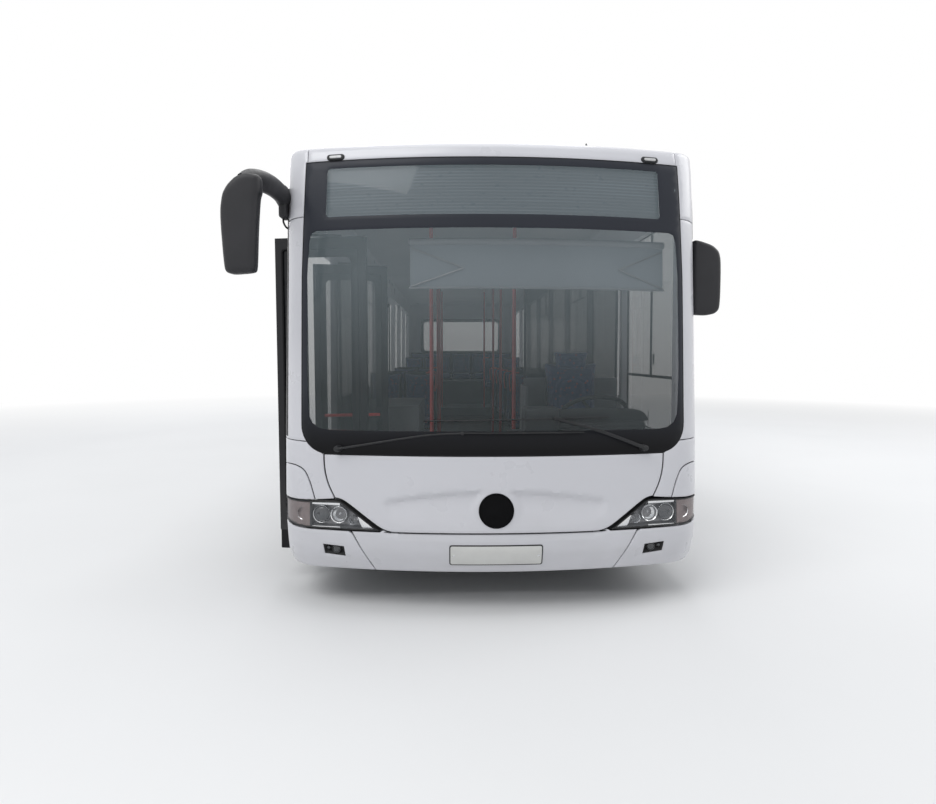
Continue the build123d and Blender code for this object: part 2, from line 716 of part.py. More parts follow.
def tyre_at(x, s):
    half = TYRE_W / 2
    points = [
        (-half + 40, RIM_R), (-half + 8, RIM_R + 40), (-half, RIM_R + 95), (-half + 10, TYRE_R - 45),
        (-half + 42, TYRE_R - 8), (-half + 90, TYRE_R), (half - 90, TYRE_R), (half - 42, TYRE_R - 8),
        (half - 10, TYRE_R - 45), (half, RIM_R + 95), (half - 8, RIM_R + 40), (half - 40, RIM_R),
    ]
    return ring_profile(points, x, y_at(s), WHEEL_Z)


def rim_at(x, s, out, dish):
    """Rim with its disc; out is +1 where the wheel's outer face looks to +X."""
    half = TYRE_W / 2 - 40
    points = [
        (-half, RIM_R), (half, RIM_R), (half, RIM_R - 22), (dish + 12, RIM_R - 30),
        (dish + 12, 90), (dish + 12, 70), (dish - 10, 70), (dish - 10, RIM_R - 30), (-half, RIM_R - 22),
    ]
    if out < 0:
        points = [(-a, r) for a, r in points]
    return ring_profile(points, x, y_at(s), WHEEL_Z)


HUB_R = 69.7
STUB_R = 44


def hub_at(x_from, x_to, s):
    return rod((x_from, y_at(s), WHEEL_Z), (x_to, y_at(s), WHEEL_Z), HUB_R)


parts = {}
for name, side in (("kerb", -1), ("road", 1)):
    tyre = tyre_at(side * FRONT_WHEEL_X, FRONT_WHEEL_S)
    rim = rim_at(side * FRONT_WHEEL_X, FRONT_WHEEL_S, side, 60)
    hub = hub_at(side * (FRONT_WHEEL_X + 20), side * (FRONT_WHEEL_X + 110), FRONT_WHEEL_S)
    disc_x = sorted((side * (FRONT_WHEEL_X + 50), side * (FRONT_WHEEL_X + 72)))
    filler = rod((disc_x[0], y_at(FRONT_WHEEL_S), WHEEL_Z), (disc_x[1], y_at(FRONT_WHEEL_S), WHEEL_Z), 100)
    parts[f"tyre_front_{name}"] = tyre
    parts[f"rim_front_{name}"] = fuse([rim, hub, filler])
    inner_x = side * (TWIN_X - TWIN_SPACING / 2)
    outer_x = side * (TWIN_X + TWIN_SPACING / 2)
    parts[f"tyres_rear_{name}"] = Compound([tyre_at(inner_x, REAR_WHEEL_S), tyre_at(outer_x, REAR_WHEEL_S)])
    outer_rim = rim_at(outer_x, REAR_WHEEL_S, side, -70)
    inner_rim = rim_at(inner_x, REAR_WHEEL_S, side, 60)
    drum = rod(
        (inner_x + side * 48, y_at(REAR_WHEEL_S), WHEEL_Z),
        (outer_x - side * 60, y_at(REAR_WHEEL_S), WHEEL_Z),
        120,
    )
    cap = hub_at(outer_x - side * 70, outer_x + side * 60, REAR_WHEEL_S)
    parts[f"rims_rear_{name}"] = fuse([outer_rim, inner_rim, drum, cap])


# Front axle beam, knuckles and tie rod

AXLE_Z = (150, 222)
EYE_R = 40
PIN_R = 22
yf = y_at(FRONT_WHEEL_S)
beam = [block((-600, 600), (yf - 50, yf + 50), AXLE_Z)]
for side in (1, -1):
    beam.append(block(sorted((side * 590, side * 660)), (yf - 45, yf + 45), (AXLE_Z[0], 520)))
    beam.append(block(sorted((side * 650, side * KINGPIN_X)), (yf - 35, yf + 35), (430, 520)))
    beam.append(rod((side * KINGPIN_X, yf, 430), (side * KINGPIN_X, yf, 520), EYE_R))
    beam.append(block(sorted((side * 480, side * 560)), (yf - 40, yf + 40), (AXLE_Z[1], FLOOR_Z - FLOOR_T)))
front_axle = fuse(beam)
for side in (1, -1):
    front_axle -= rod((side * KINGPIN_X, yf, 400), (side * KINGPIN_X, yf, 560), PIN_R + FIT)
TIE_Y = yf + 190
TIE_X = KINGPIN_X
TIE_Z = 190
TIE_R = 14
BALL_R = 12
for name, side in (("kerb", -1), ("road", 1)):
    x = side * KINGPIN_X
    pin = rod((x, yf, 405), (x, yf, 545), PIN_R)
    fork_low = rod((x, yf, 398), (x, yf, 424), 42)
    fork_high = rod((x, yf, 526), (x, yf, 552), 42)
    back = block(sorted((x + side * 41, x + side * 62)), (yf - 38, yf + 38), (398, 552))
    webs = [
        block(sorted((x, x + side * 50)), (yf - 38, yf + 38), (398, 424)),
        block(sorted((x, x + side * 50)), (yf - 38, yf + 38), (526, 552)),
    ]
    stub_end = side * (FRONT_WHEEL_X + 19.7)
    stub = rod((x + side * 55, yf, WHEEL_Z), (stub_end, yf, WHEEL_Z), STUB_R)
    drum_disc = rod((x + side * 62, yf, WHEEL_Z), (x + side * 100, yf, WHEEL_Z), 205)
    arm_x = sorted((side * (TIE_X - 18), side * (TIE_X + 18)))
    steering_arm = block(arm_x, (yf + 30, TIE_Y + 20), (382, 404)).fuse(
        block(arm_x, (TIE_Y - 16, TIE_Y + 20), (TIE_Z + 22, 404)))
    arm_root = block(sorted((side * (TIE_X - 18), x + side * 40)), (yf - 10, yf + 60), (382, 404))
    ball = rod((side * TIE_X, TIE_Y, TIE_Z - 18), (side * TIE_X, TIE_Y, TIE_Z + 22), BALL_R)
    knuckle = fuse([pin, fork_low, fork_high, back, stub, drum_disc, steering_arm, arm_root] + webs)
    parts[f"knuckle_{name}"] = knuckle.fuse(ball)
tie_rod = rod((-TIE_X, TIE_Y, TIE_Z), (TIE_X, TIE_Y, TIE_Z), TIE_R)
for side in (1, -1):
    tie_rod = tie_rod.fuse(rod((side * TIE_X, TIE_Y, TIE_Z - 18), (side * TIE_X, TIE_Y, TIE_Z + 16), 21))
for side in (1, -1):
    tie_rod -= rod((side * TIE_X, TIE_Y, TIE_Z - 40), (side * TIE_X, TIE_Y, TIE_Z + 40), BALL_R + FIT)

# Rear portal axle

yr = y_at(REAR_WHEEL_S)
rear_beam = [block((-590, 590), (yr - 80, yr + 80), (130, 222))]
for side in (1, -1):
    rear_beam.append(block(sorted((side * 566, side * 612)), (yr - 80, yr + 80), (130, 560)))
    rear_beam.append(rod((side * 610, yr, WHEEL_Z), (side * (TWIN_X - TWIN_SPACING / 2 + 47.7), yr, WHEEL_Z), 66))
    rear_beam.append(block(sorted((side * 440, side * 520)), (yr - 50, yr + 50), (222, FLOOR_Z - FLOOR_T)))
rear_axle = fuse(rear_beam)


# Doors

def leaf_frame():
    """Leaf frame about its pivot: Y along the leaf to its leading edge, -X outward."""
    x = (-LEAF_OFFSET - LEAF_T / 2, -LEAF_OFFSET + LEAF_T / 2)
    y = (-LEAF_TRAIL, LEAF_LEAD)
    frame = block(x, y, (LEAF_LOW_Z, LEAF_HIGH_Z))
    frame -= block((-200, 200), (y[0] + 45, y[1] - 45), (LEAF_LOW_Z + 150, LEAF_HIGH_Z - 70))
    for z0, z1 in ((LEAF_LOW_Z, LEAF_LOW_Z + 24), (LEAF_HIGH_Z - 24, LEAF_HIGH_Z)):
        lug = block((x[1] - 4, 0), (-16, 16), (z0, z1)).fuse(rod((0, 0, z0), (0, 0, z1), 16))
        frame = frame.fuse(lug)
    return frame - rod((0, 0, 0), (0, 0, 3000), LEAF_PIN_R + FIT)


def leaf_glass():
    x = (-LEAF_OFFSET - 8, -LEAF_OFFSET)
    return block(x, (-LEAF_TRAIL + 45, LEAF_LEAD - 45), (LEAF_LOW_Z + 150, LEAF_HIGH_Z - 70))


def door_arm():
    """Post with its two arms, about the post axis, arms along +Y."""
    pieces = [rod((0, 0, FLOOR_Z + FIT), (0, 0, DOOR_TOP_Z - FIT), POST_R)]
    low = (LEAF_LOW_Z - 22, LEAF_LOW_Z - 22 + ARM_T)
    high = (LEAF_HIGH_Z + 7, LEAF_HIGH_Z + 7 + ARM_T)
    for z0, z1 in (low, high):
        pieces.append(block((-13, 13), (0, ARM), (z0, z1)))
        pieces.append(rod((0, ARM, z0), (0, ARM, z1), 13))
    pieces.append(rod((0, ARM, low[1]), (0, ARM, LEAF_LOW_Z + 22), LEAF_PIN_R))
    pieces.append(rod((0, ARM, LEAF_HIGH_Z - 22), (0, ARM, high[0]), LEAF_PIN_R))
    return fuse(pieces)


def place_leaf(shape, post_y, way, angle):
    """Leaf shape at an opening angle; way is +1 where the arm points to +Y when shut."""
    turned = Rot(0, 0, angle) * shape
    pivot = (ARM * sin(radians(angle)), ARM * cos(radians(angle)))
    placed = Pos(pivot[0], pivot[1], 0) * turned
    if way < 0:
        placed = mirror(placed, Plane.XZ)
    return Pos(-POST_X, post_y, 0) * placed


def place_arm(shape, post_y, way, angle):
    turned = Rot(0, 0, -angle) * shape
    if way < 0:
        turned = mirror(turned, Plane.XZ)
    return Pos(-POST_X, post_y, 0) * turned


DOORS = [
    # name, S of the doorway, way, angle at rest
    ("front_door_fore", FRONT_DOOR_S, 1, OPEN_DEG),
    ("front_door_aft", FRONT_DOOR_S, -1, OPEN_DEG),
    ("mid_door_fore", MID_DOOR_S, 1, 0),
    ("mid_door_aft", MID_DOOR_S, -1, 0),
]
for name, s, way, angle in DOORS:
    post_y = y_at(s) + (POST_INSET if way > 0 else DOOR_W - POST_INSET)
    parts[f"{name}_arm"] = place_arm(door_arm(), post_y, way, angle)
    parts[f"{name}_leaf"] = place_leaf(leaf_frame(), post_y, way, angle)
    parts[f"{name}_glass"] = place_leaf(leaf_glass(), post_y, way, angle)


# Mirrors and wipers

KERB_HEAD = [
    # distance in from the mirror's outer edge, z
    (0, 2235), (15, 1945), (27, 1922), (63, 1913), (168, 1922), (182, 1941), (192, 2150),
    (205, 2314), (217, 2325), (217, 2444), (137, 2442), (75, 2411), (26, 2342),
]
ROAD_HEAD = [
    # distance in from the mirror's outer edge, z
    (2, 2083), (0, 1790), (27, 1755), (78, 1742), (183, 1745), (185, 2219), (129, 2209), (58, 2184), (15, 2146),
]
KERB_HEAD_Y = (FRONT - MIRROR_AHEAD, FRONT - MIRROR_AHEAD + 100)
ROAD_HEAD_Y = (FRONT + 510, FRONT + 610)
KERB_ARM_FROM = (-MIRROR_REACH + 170, FRONT - 60, 2386)
KERB_ARM_TO = (-HALF_WIDTH + 13, FRONT + 440, 2485)
KERB_ARM_R = 57
ROAD_ARM_FROM = (HALF_WIDTH - 60, FRONT + 555, 2130)
ROAD_ARM_TO = (MIRROR_REACH - 120, FRONT + 560, 2100)
ROAD_ARM_R = 28


def mirror_head(outline, side, y):
    points = [(side * (MIRROR_REACH - inward), z) for inward, z in outline]
    face = polygon_face(points).moved(Pos(0, y[0], 0))
    return Solid.extrude(face, Vector(0, y[1] - y[0], 0))


bracket = block((-HALF_WIDTH - 20, -HALF_WIDTH + 45), (FRONT + 385, FRONT + 500), (2310, 2520))
mirror_kerb = fuse([
    mirror_head(KERB_HEAD, -1, KERB_HEAD_Y),
    rod(KERB_ARM_FROM, KERB_ARM_TO, KERB_ARM_R),
    Pos(*KERB_ARM_FROM) * Sphere(KERB_ARM_R),
    bracket,
])
mirror_road = fuse([mirror_head(ROAD_HEAD, 1, ROAD_HEAD_Y), rod(ROAD_ARM_FROM, ROAD_ARM_TO, ROAD_ARM_R)])
outside_cap = Pos(0, FRONT, 0) * cap_form(FRONT_ROWS, FRONT_BOW, 0, CAP_S + 300)
mirrors = Compound([
    max((mirror_kerb - outside_cap).solids(), key=lambda solid: solid.volume),
    max((mirror_road - outside_cap).solids(), key=lambda solid: solid.volume),
])


# Cab

dash_y = (FRONT + 330, FRONT + 620)
dashboard = block((100, 1160), dash_y, (700, 1010)).fuse(
    block((420, 1020), (FRONT + 560, FRONT + 700), (860, 1060)))
dashboard = dashboard.fuse(block((200, 1100), (FRONT + 400, FRONT + 560), (FLOOR_Z, 720)))
WHEEL_CENTRE = (720, FRONT + 800, 1090)
wheel_plane = Plane(origin=WHEEL_CENTRE, z_dir=(0, 0.55, 0.83))
column = Solid.make_cylinder(28, 260, wheel_plane.offset(-12 - FIT - 260)) - dashboard
column = max(column.solids(), key=lambda solid: solid.center().Z)
ring = Solid.make_torus(225, 15, wheel_plane)
hub_disc = Solid.make_cylinder(60, 24, wheel_plane.offset(-12))
steering_wheel = ring.fuse(hub_disc)
for angle in (90, 210, 330):
    tip = wheel_plane.from_local_coords(Vector(225 * cos(radians(angle)), 225 * sin(radians(angle)), 0))
    steering_wheel = steering_wheel.fuse(rod(WHEEL_CENTRE, (tip.X, tip.Y, tip.Z), 10))
seat_y = FRONT + 1150
driver_seat = fuse([
    block((470, 970), (seat_y, seat_y + 480), (720, 830)),
    block((490, 950), (seat_y + 430, seat_y + 540), (800, 1500)),
    block((600, 840), (seat_y + 80, seat_y + 400), (FLOOR_Z, 730)),
])
partition = fuse([
    block((360, 1160), (FRONT + 1840, FRONT + 1870), (FLOOR_Z, 2100)),
    block((330, 360), (FRONT + 1500, FRONT + 1870), (FLOOR_Z, 1250)),
])


# Passenger seats on plinths, and hand poles

SEAT_PITCH = 730
FIRST_ROW_S = FRONT_WHEEL_S + FRONT_BOX_HALF + 120
LAST_ROW_S = REAR_WHEEL_S - 1480
ROAD_ROWS = int((LAST_ROW_S - FIRST_ROW_S) // SEAT_PITCH) + 1
SEAT_ROWS = [
    # S of the seat's front edge, side, floor height under it
    (FIRST_ROW_S, -1, FLOOR_Z),
    (FIRST_ROW_S + SEAT_PITCH, -1, FLOOR_Z),
    (REAR_WHEEL_S - 1900, -1, FLOOR_Z),
    (REAR_WHEEL_S - 1200, -1, FLOOR_Z),
    (REAR_FLOOR_S + 125, -1, REAR_FLOOR_Z),
    (REAR_FLOOR_S + 125, 1, REAR_FLOOR_Z),
]
SEAT_ROWS += [(FIRST_ROW_S + i * SEAT_PITCH, 1, FLOOR_Z) for i in range(ROAD_ROWS)]


def double_seat(s, side, base_z):
    x = sorted((side * 420, side * 1190))
    y = y_at(s)
    return fuse([
        block(x, (y, y + 430), (base_z + 380, base_z + 440)),
        block(x, (y + 400, y + 450), (base_z + 400, base_z + 1000)),
        block(sorted((side * 780, side * 860)), (y + 120, y + 340), (base_z, base_z + 390)),
    ])


BENCH_S = LENGTH - 800
BENCH_HALF = REAR_HALF - 20
bench = fuse([
    block((-BENCH_HALF, BENCH_HALF), (y_at(BENCH_S), y_at(BENCH_S + 450)), (DECK_Z, DECK_Z + 120)),
    block((-BENCH_HALF, BENCH_HALF), (y_at(BENCH_S + 410), y_at(BENCH_S + 470)), (DECK_Z + 100, DECK_Z + 620)),
])
seats = Compound([double_seat(*row) for row in SEAT_ROWS] + [bench])

POLES = [
    # x, S, foot height
    (-420, FRONT_DOOR_END_S + 100, FLOOR_Z),
    (300, FRONT_DOOR_END_S + 140, FLOOR_Z),
    (-420, MID_DOOR_S - 100, FLOOR_Z),
    (-420, MID_DOOR_END_S + 130, FLOOR_Z),
    (400, FIRST_ROW_S + 2 * SEAT_PITCH - 60, FLOOR_Z),
    (400, FIRST_ROW_S + 4 * SEAT_PITCH - 60, FLOOR_Z),
    (-420, REAR_FLOOR_S + 55, REAR_FLOOR_Z),
    (420, REAR_FLOOR_S + 55, REAR_FLOOR_Z),
]
POLE_R = 17
pole_solids = []
for x, s, foot_z in POLES:
    top_z = sqrt((CROWN_R - WALL) ** 2 - (abs(x) + POLE_R) ** 2) + CROWN_CENTRE_Z - FIT
    pole_solids.append(rod((x, y_at(s), foot_z), (x, y_at(s), top_z), POLE_R))
handrails = Compound(pole_solids)


# Destination display behind the windscreen

inner_cap = Pos(0, FRONT, 0) * cap_form(FRONT_ROWS, FRONT_BOW, WALL + FIT, CAP_S + 300, below=20)
DISPLAY_HALF = 980
DISPLAY_S = (370, 450)
DISPLAY_Z = (2290, 2700)
display_box = block((-DISPLAY_HALF, DISPLAY_HALF), (y_at(DISPLAY_S[0]), y_at(DISPLAY_S[1])), DISPLAY_Z)
display = display_box & inner_cap


# Wipers: spindles on the glass, arms, and blades that follow its bow

WIPERS = [
    # pivot x and z, tip x and z, blade ends x
    (-900, 948, -190, 1048, -190, 500),
    (858, 947, 330, 1132, -410, 645),
]
BLADE_OFF = 16
ARM_OFF = 34


def screen_y(x, z, off=0):
    """Y of the windscreen's outer face, moved forward by off."""
    rows = [row for row in FRONT_ROWS if row[0] <= CANT_Z]
    for (z0, back0, _), (z1, back1, _) in zip(rows, rows[1:]):
        if z0 <= z <= z1:
            set_back = back0 + (back1 - back0) * (z - z0) / (z1 - z0)
            bow = FRONT_BOW - 5
            return FRONT + set_back + 5 + bow - sqrt(bow**2 - x**2) - off
    return FRONT


wiper_solids = []
for px, pz, tx, tz, b0, b1 in WIPERS:
    spindle = rod((px, screen_y(px, pz, FIT), pz), (px, screen_y(px, pz, ARM_OFF + 12), pz), 16)
    arm = rod((px, screen_y(px, pz, ARM_OFF), pz), (tx, screen_y(tx, tz, ARM_OFF), tz), 9)
    middle = (b0 + b1) / 2
    path = Edge.make_three_point_arc(*[Vector(x, screen_y(x, tz, BLADE_OFF), tz) for x in (b0, middle, b1)])
    blade = sweep(Plane(origin=path @ 0, z_dir=path % 0) * Circle(7), Wire([path]))
    joint = rod((tx, screen_y(tx, tz, ARM_OFF), tz), (tx, screen_y(tx, tz, BLADE_OFF), tz), 9)
    pieces = (fuse([spindle, arm, joint, blade]) - windscreen).solids()
    wiper_solids.append(max(pieces, key=lambda solid: solid.volume))
wipers = Compound(wiper_solids)

parts.update({
    "floor": floor,
    "wheel_boxes": wheel_boxes,
    "rear_floor": rear_floor,
    "wall_kerb": wall_kerb,
    "wall_road": wall_road,
    "glass_kerb": glass_kerb,
    "glass_road": glass_road,
    "roof": roof,
    "roof_unit": roof_unit,
    "front_top": front_top,
    "front_corners": front_corners,
    "front_wings": front_wings,
    "front_flap": front_flap,
    "windscreen": windscreen,
    "bumper_front": bumper_front,
    "headlamps": headlamps,
    "mirrors": mirrors,
    "rear_wall": rear_wall,
    "rear_window": rear_window_pane,
    "engine_flap": engine_flap,
    "bumper_rear": bumper_rear,
    "tail_lamps": tail_lamps,
    "engine": engine,
    "front_axle": front_axle,
    "tie_rod": tie_rod,
    "rear_axle": rear_axle,
    "dashboard": dashboard,
    "steering_column": column,
    "steering_wheel": steering_wheel,
    "driver_seat": driver_seat,
    "partition": partition,
    "seats": seats,
    "handrails": handrails,
    "display": display,
    "wipers": wipers,
})
for name, s in HATCH_S.items():
    parts[f"hatch_{name}"] = hatch_lid(s)

for name, shape in parts.items():
    export_step(shape, f"parts/{name}.step")
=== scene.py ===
import json
import math

import bmesh
import bpy
import numpy as np
from mathutils import Matrix, Vector
from mathutils.geometry import delaunay_2d_cdt

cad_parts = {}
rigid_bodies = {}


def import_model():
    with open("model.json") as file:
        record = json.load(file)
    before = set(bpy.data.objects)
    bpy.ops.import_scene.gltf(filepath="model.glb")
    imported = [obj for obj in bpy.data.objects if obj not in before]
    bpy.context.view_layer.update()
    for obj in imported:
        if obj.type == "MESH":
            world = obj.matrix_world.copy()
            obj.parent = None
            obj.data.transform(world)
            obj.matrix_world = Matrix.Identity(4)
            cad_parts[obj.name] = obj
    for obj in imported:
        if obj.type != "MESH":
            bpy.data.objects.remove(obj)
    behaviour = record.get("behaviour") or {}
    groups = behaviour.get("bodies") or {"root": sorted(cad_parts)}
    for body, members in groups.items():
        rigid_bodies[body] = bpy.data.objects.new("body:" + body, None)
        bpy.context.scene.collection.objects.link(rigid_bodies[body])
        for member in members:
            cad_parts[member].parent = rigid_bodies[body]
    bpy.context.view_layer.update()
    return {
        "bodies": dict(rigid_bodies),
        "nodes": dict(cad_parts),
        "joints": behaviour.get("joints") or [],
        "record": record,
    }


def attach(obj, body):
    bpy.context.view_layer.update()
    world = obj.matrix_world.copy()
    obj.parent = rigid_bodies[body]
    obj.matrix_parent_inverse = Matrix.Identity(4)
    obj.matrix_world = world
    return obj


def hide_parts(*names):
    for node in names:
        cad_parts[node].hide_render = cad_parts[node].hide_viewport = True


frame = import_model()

# City bus: metres, +X is the driver's side, the bus faces -Y.
# S is measured back from the front face.

LENGTH = 11.95
FRONT = -5.915
REAR = FRONT + LENGTH
CANT_Z = 2.690
CANT_R = 0.080
CAP_S = 0.600
DOORS = ("front_door_fore", "front_door_aft", "mid_door_fore", "mid_door_aft")
EDGE_X = 1.18000
EDGE_Z = 2.68925
CROWN_R = 12.3768
CROWN_CENTRE_Z = -9.5508
SIDE_ROWS = [(0.240, 1.236), (0.300, 1.262), (0.600, 1.275), (1.085, 1.275), (2.690, 1.260)]
FRONT_ROWS = [
    # z, set back, corner radius
    (0.240, 0.050, 0.270), (0.300, 0.028, 0.285), (0.385, 0.004, 0.300), (0.480, 0.000, 0.300),
    (0.600, 0.008, 0.300), (0.960, 0.030, 0.300), (1.085, 0.040, 0.300), (1.885, 0.112, 0.285),
    (2.600, 0.206, 0.240), (2.670, 0.226, 0.234), (2.700, 0.238, 0.225), (2.716, 0.258, 0.200),
    (2.735, 0.318, 0.130), (2.757, 0.392, 0.060), (2.778, 0.462, 0.040), (2.800, 0.535, 0.030),
    (2.815, 0.578, 0.030), (2.823, 0.596, 0.030),
]
REAR_ROWS = [
    # z, set back, corner radius
    (0.240, 0.060, 0.190), (0.300, 0.025, 0.200), (0.480, 0.000, 0.200), (1.085, 0.000, 0.200),
    (1.700, 0.010, 0.200), (2.600, 0.055, 0.190), (2.670, 0.066, 0.186), (2.710, 0.084, 0.180),
    (2.740, 0.115, 0.170), (2.762, 0.160, 0.160), (2.785, 0.230, 0.140), (2.805, 0.310, 0.120),
    (2.818, 0.370, 0.090), (2.823, 0.400, 0.060),
]


# Materials

def new_material(name):
    material = bpy.data.materials.new(name)
    material.use_nodes = True
    return material, material.node_tree, material.node_tree.nodes["Principled BSDF"]


def coordinates(tree, scale=(1, 1, 1)):
    coord = tree.nodes.new("ShaderNodeTexCoord")
    mapping = tree.nodes.new("ShaderNodeMapping")
    mapping.inputs["Scale"].default_value = scale
    tree.links.new(coord.outputs["Object"], mapping.inputs["Vector"])
    return mapping.outputs["Vector"]


def noise(tree, scale, detail=4.0, stretch=(1, 1, 1)):
    tex = tree.nodes.new("ShaderNodeTexNoise")
    tex.inputs["Scale"].default_value = scale
    tex.inputs["Detail"].default_value = detail
    tree.links.new(coordinates(tree, stretch), tex.inputs["Vector"])
    return tex.outputs["Fac"]


def remap(tree, value, low, high, to_low, to_high):
    node = tree.nodes.new("ShaderNodeMapRange")
    node.inputs["From Min"].default_value = low
    node.inputs["From Max"].default_value = high
    node.inputs["To Min"].default_value = to_low
    node.inputs["To Max"].default_value = to_high
    tree.links.new(value, node.inputs["Value"])
    return node.outputs["Result"]


def maths(tree, operation, a, b):
    node = tree.nodes.new("ShaderNodeMath")
    node.operation = operation
    for socket, value in zip(node.inputs, (a, b)):
        if isinstance(value, (int, float)):
            socket.default_value = value
        else:
            tree.links.new(value, socket)
    return node.outputs["Value"]


def mixed(tree, factor, a, b):
    """Colour a where factor is 0 and b where it is 1; each is a colour or a socket."""
    node = tree.nodes.new("ShaderNodeMix")
    node.data_type = "RGBA"
    tree.links.new(factor, node.inputs["Factor"])
    for index, value in ((6, a), (7, b)):
        if isinstance(value, (tuple, list)):
            node.inputs[index].default_value = (*value[:3], 1)
        else:
            tree.links.new(value, node.inputs[index])
    return node.outputs[2]


def bump(tree, shader, height, distance, strength=1.0):
    node = tree.nodes.new("ShaderNodeBump")
    node.inputs["Distance"].default_value = distance
    node.inputs["Strength"].default_value = strength
    tree.links.new(height, node.inputs["Height"])
    tree.links.new(node.outputs["Normal"], shader.inputs["Normal"])


def height_axis(tree, axis="Z"):
    coord = tree.nodes.new("ShaderNodeTexCoord")
    split = tree.nodes.new("ShaderNodeSeparateXYZ")
    tree.links.new(coord.outputs["Object"], split.inputs["Vector"])
    return split.outputs[axis]


def shade(color, factor):
    return tuple(min(c * factor, 1.0) for c in color)


def surface(name, color, rough=0.5, metallic=0.0, coat=0.0, vary=0.06, blotch=3.0, grain=300.0,
            depth=0.00005,
            specular=0.5, dust_and_shade=0.0, dust_and_shade_z=0.9, dust_and_shade_color=(0.42, 0.40, 0.37)):
    """Finish with blotches of tone, uneven gloss, a fine grain, and a tint that thickens towards the ground:
    dirt, and on the white paint also painted shade from the ground.
    """
    material, tree, shader = new_material(name)
    tone = remap(tree, noise(tree, blotch), 0.3, 0.7, 0.0, 1.0)
    tint = mixed(tree, tone, shade(color, 1 - vary), shade(color, 1 + vary))
    # Tint towards the ground: dirt, and where the white paint takes it, painted ground shade too.
    if dust_and_shade:
        low = remap(tree, height_axis(tree), 0.15, dust_and_shade_z, 1.0, 0.0)
        patch = remap(tree, noise(tree, 5.0, 6.0, (1, 1, 2.5)), 0.35, 0.75, 0.35, 1.0)
        dust_and_shade_amount = maths(tree, "MULTIPLY", maths(tree, "MULTIPLY", low, patch), dust_and_shade)
        tint = mixed(tree, dust_and_shade_amount, tint, dust_and_shade_color)
    tree.links.new(tint, shader.inputs["Base Color"])
    gloss = remap(tree, noise(tree, blotch * 4, 5.0), 0.3, 0.7, max(rough - 0.06, 0.02),
                  min(rough + 0.06, 1))
    tree.links.new(gloss, shader.inputs["Roughness"])
    shader.inputs["Metallic"].default_value = metallic
    shader.inputs["Specular IOR Level"].default_value = specular
    shader.inputs["Coat Weight"].default_value = coat
    shader.inputs["Coat Roughness"].default_value = 0.08
    bump(tree, shader, noise(tree, grain, 3.0), depth)
    return material


def glass(name, color, alpha, rough=0.03, ior=1.5, vary=0.1):
    """Thin glass: its alpha is the share of light that its tint and haze stop."""
    material, tree, shader = new_material(name)
    haze = remap(tree, noise(tree, 1.3, 5.0), 0.3, 0.7, 0.0, 1.0)
    tree.links.new(mixed(tree, haze, shade(color, 1 - vary), shade(color, 1 + vary)),
                   shader.inputs["Base Color"])
    tree.links.new(remap(tree, noise(tree, 4.0), 0.3, 0.7, rough * 0.6, rough * 1.5),
                   shader.inputs["Roughness"])
    shader.inputs["Alpha"].default_value = alpha
    shader.inputs["IOR"].default_value = ior
    return material


def sky_painted_glass(name, low_color, high_color, z, alpha):
    """Thin glass with a painted sky reflection: its tint turns paler towards the top, in uneven patches."""
    material, tree, shader = new_material(name)
    up = remap(tree, height_axis(tree), z[0], z[1], 0.0, 1.0)
    patch = remap(tree, noise(tree, 0.9, 5.0, (1, 1, 0.6)), 0.3, 0.7, 0.82, 1.12)
    tint = mixed(tree, maths(tree, "MULTIPLY", up, patch), low_color, high_color)
    tree.links.new(tint, shader.inputs["Base Color"])
    tree.links.new(remap(tree, noise(tree, 4.0), 0.3, 0.7, 0.02, 0.045), shader.inputs["Roughness"])
    shader.inputs["Alpha"].default_value = alpha
    return material


def sky_painted_black(name, low_color, high_color, z):
    """Printed black border of a windscreen, darkest at its foot and paler and bluer higher up, which is
    painted sky reflection.
    """
    material, tree, shader = new_material(name)
    up = remap(tree, height_axis(tree), z[0], z[1], 0.0, 1.0)
    patch = remap(tree, noise(tree, 2.0), 0.3, 0.7, 0.92, 1.0)
    tree.links.new(mixed(tree, maths(tree, "MULTIPLY", up, patch), low_color, high_color),
                   shader.inputs["Base Color"])
    tree.links.new(remap(tree, noise(tree, 5.0), 0.3, 0.7, 0.28, 0.4), shader.inputs["Roughness"])
    shader.inputs["Specular IOR Level"].default_value = 0.15
    return material


def cell_pattern(tree, scale, stretch=(1, 1, 1)):
    cells = tree.nodes.new("ShaderNodeTexVoronoi")
    cells.inputs["Scale"].default_value = scale
    tree.links.new(coordinates(tree, stretch), cells.inputs["Vector"])
    return cells


def wave(tree, scale, axis, distortion=0.0):
    bands = tree.nodes.new("ShaderNodeTexWave")
    bands.bands_direction = axis
    bands.inputs["Scale"].default_value = scale
    bands.inputs["Distortion"].default_value = distortion
    tree.links.new(coordinates(tree), bands.inputs["Vector"])
    return bands.outputs["Fac"]


def fabric(name, color, thread, fleck):
    """Short pile moquette: woven threads, with small flecks of a second colour."""
    material, tree, shader = new_material(name)
    across = wave(tree, 260.0, "X", 1.0)
    along = wave(tree, 260.0, "Z", 1.0)
    weave = maths(tree, "MULTIPLY", across, along)
    base = mixed(tree, weave, color, thread)
    cells = cell_pattern(tree, 28.0)
    spots = remap(tree, cells.outputs["Distance"], 0.16, 0.26, 1.0, 0.0)
    worn = remap(tree, noise(tree, 4.0), 0.35, 0.7, 0.5, 1.0)
    tint = mixed(tree, maths(tree, "MULTIPLY", spots, worn), base, fleck)
    tree.links.new(tint, shader.inputs["Base Color"])
    tree.links.new(remap(tree, weave, 0.0, 1.0, 0.82, 0.98), shader.inputs["Roughness"])
    shader.inputs["Sheen Weight"].default_value = 0.35
    bump(tree, shader, weave, 0.0006)
    return material


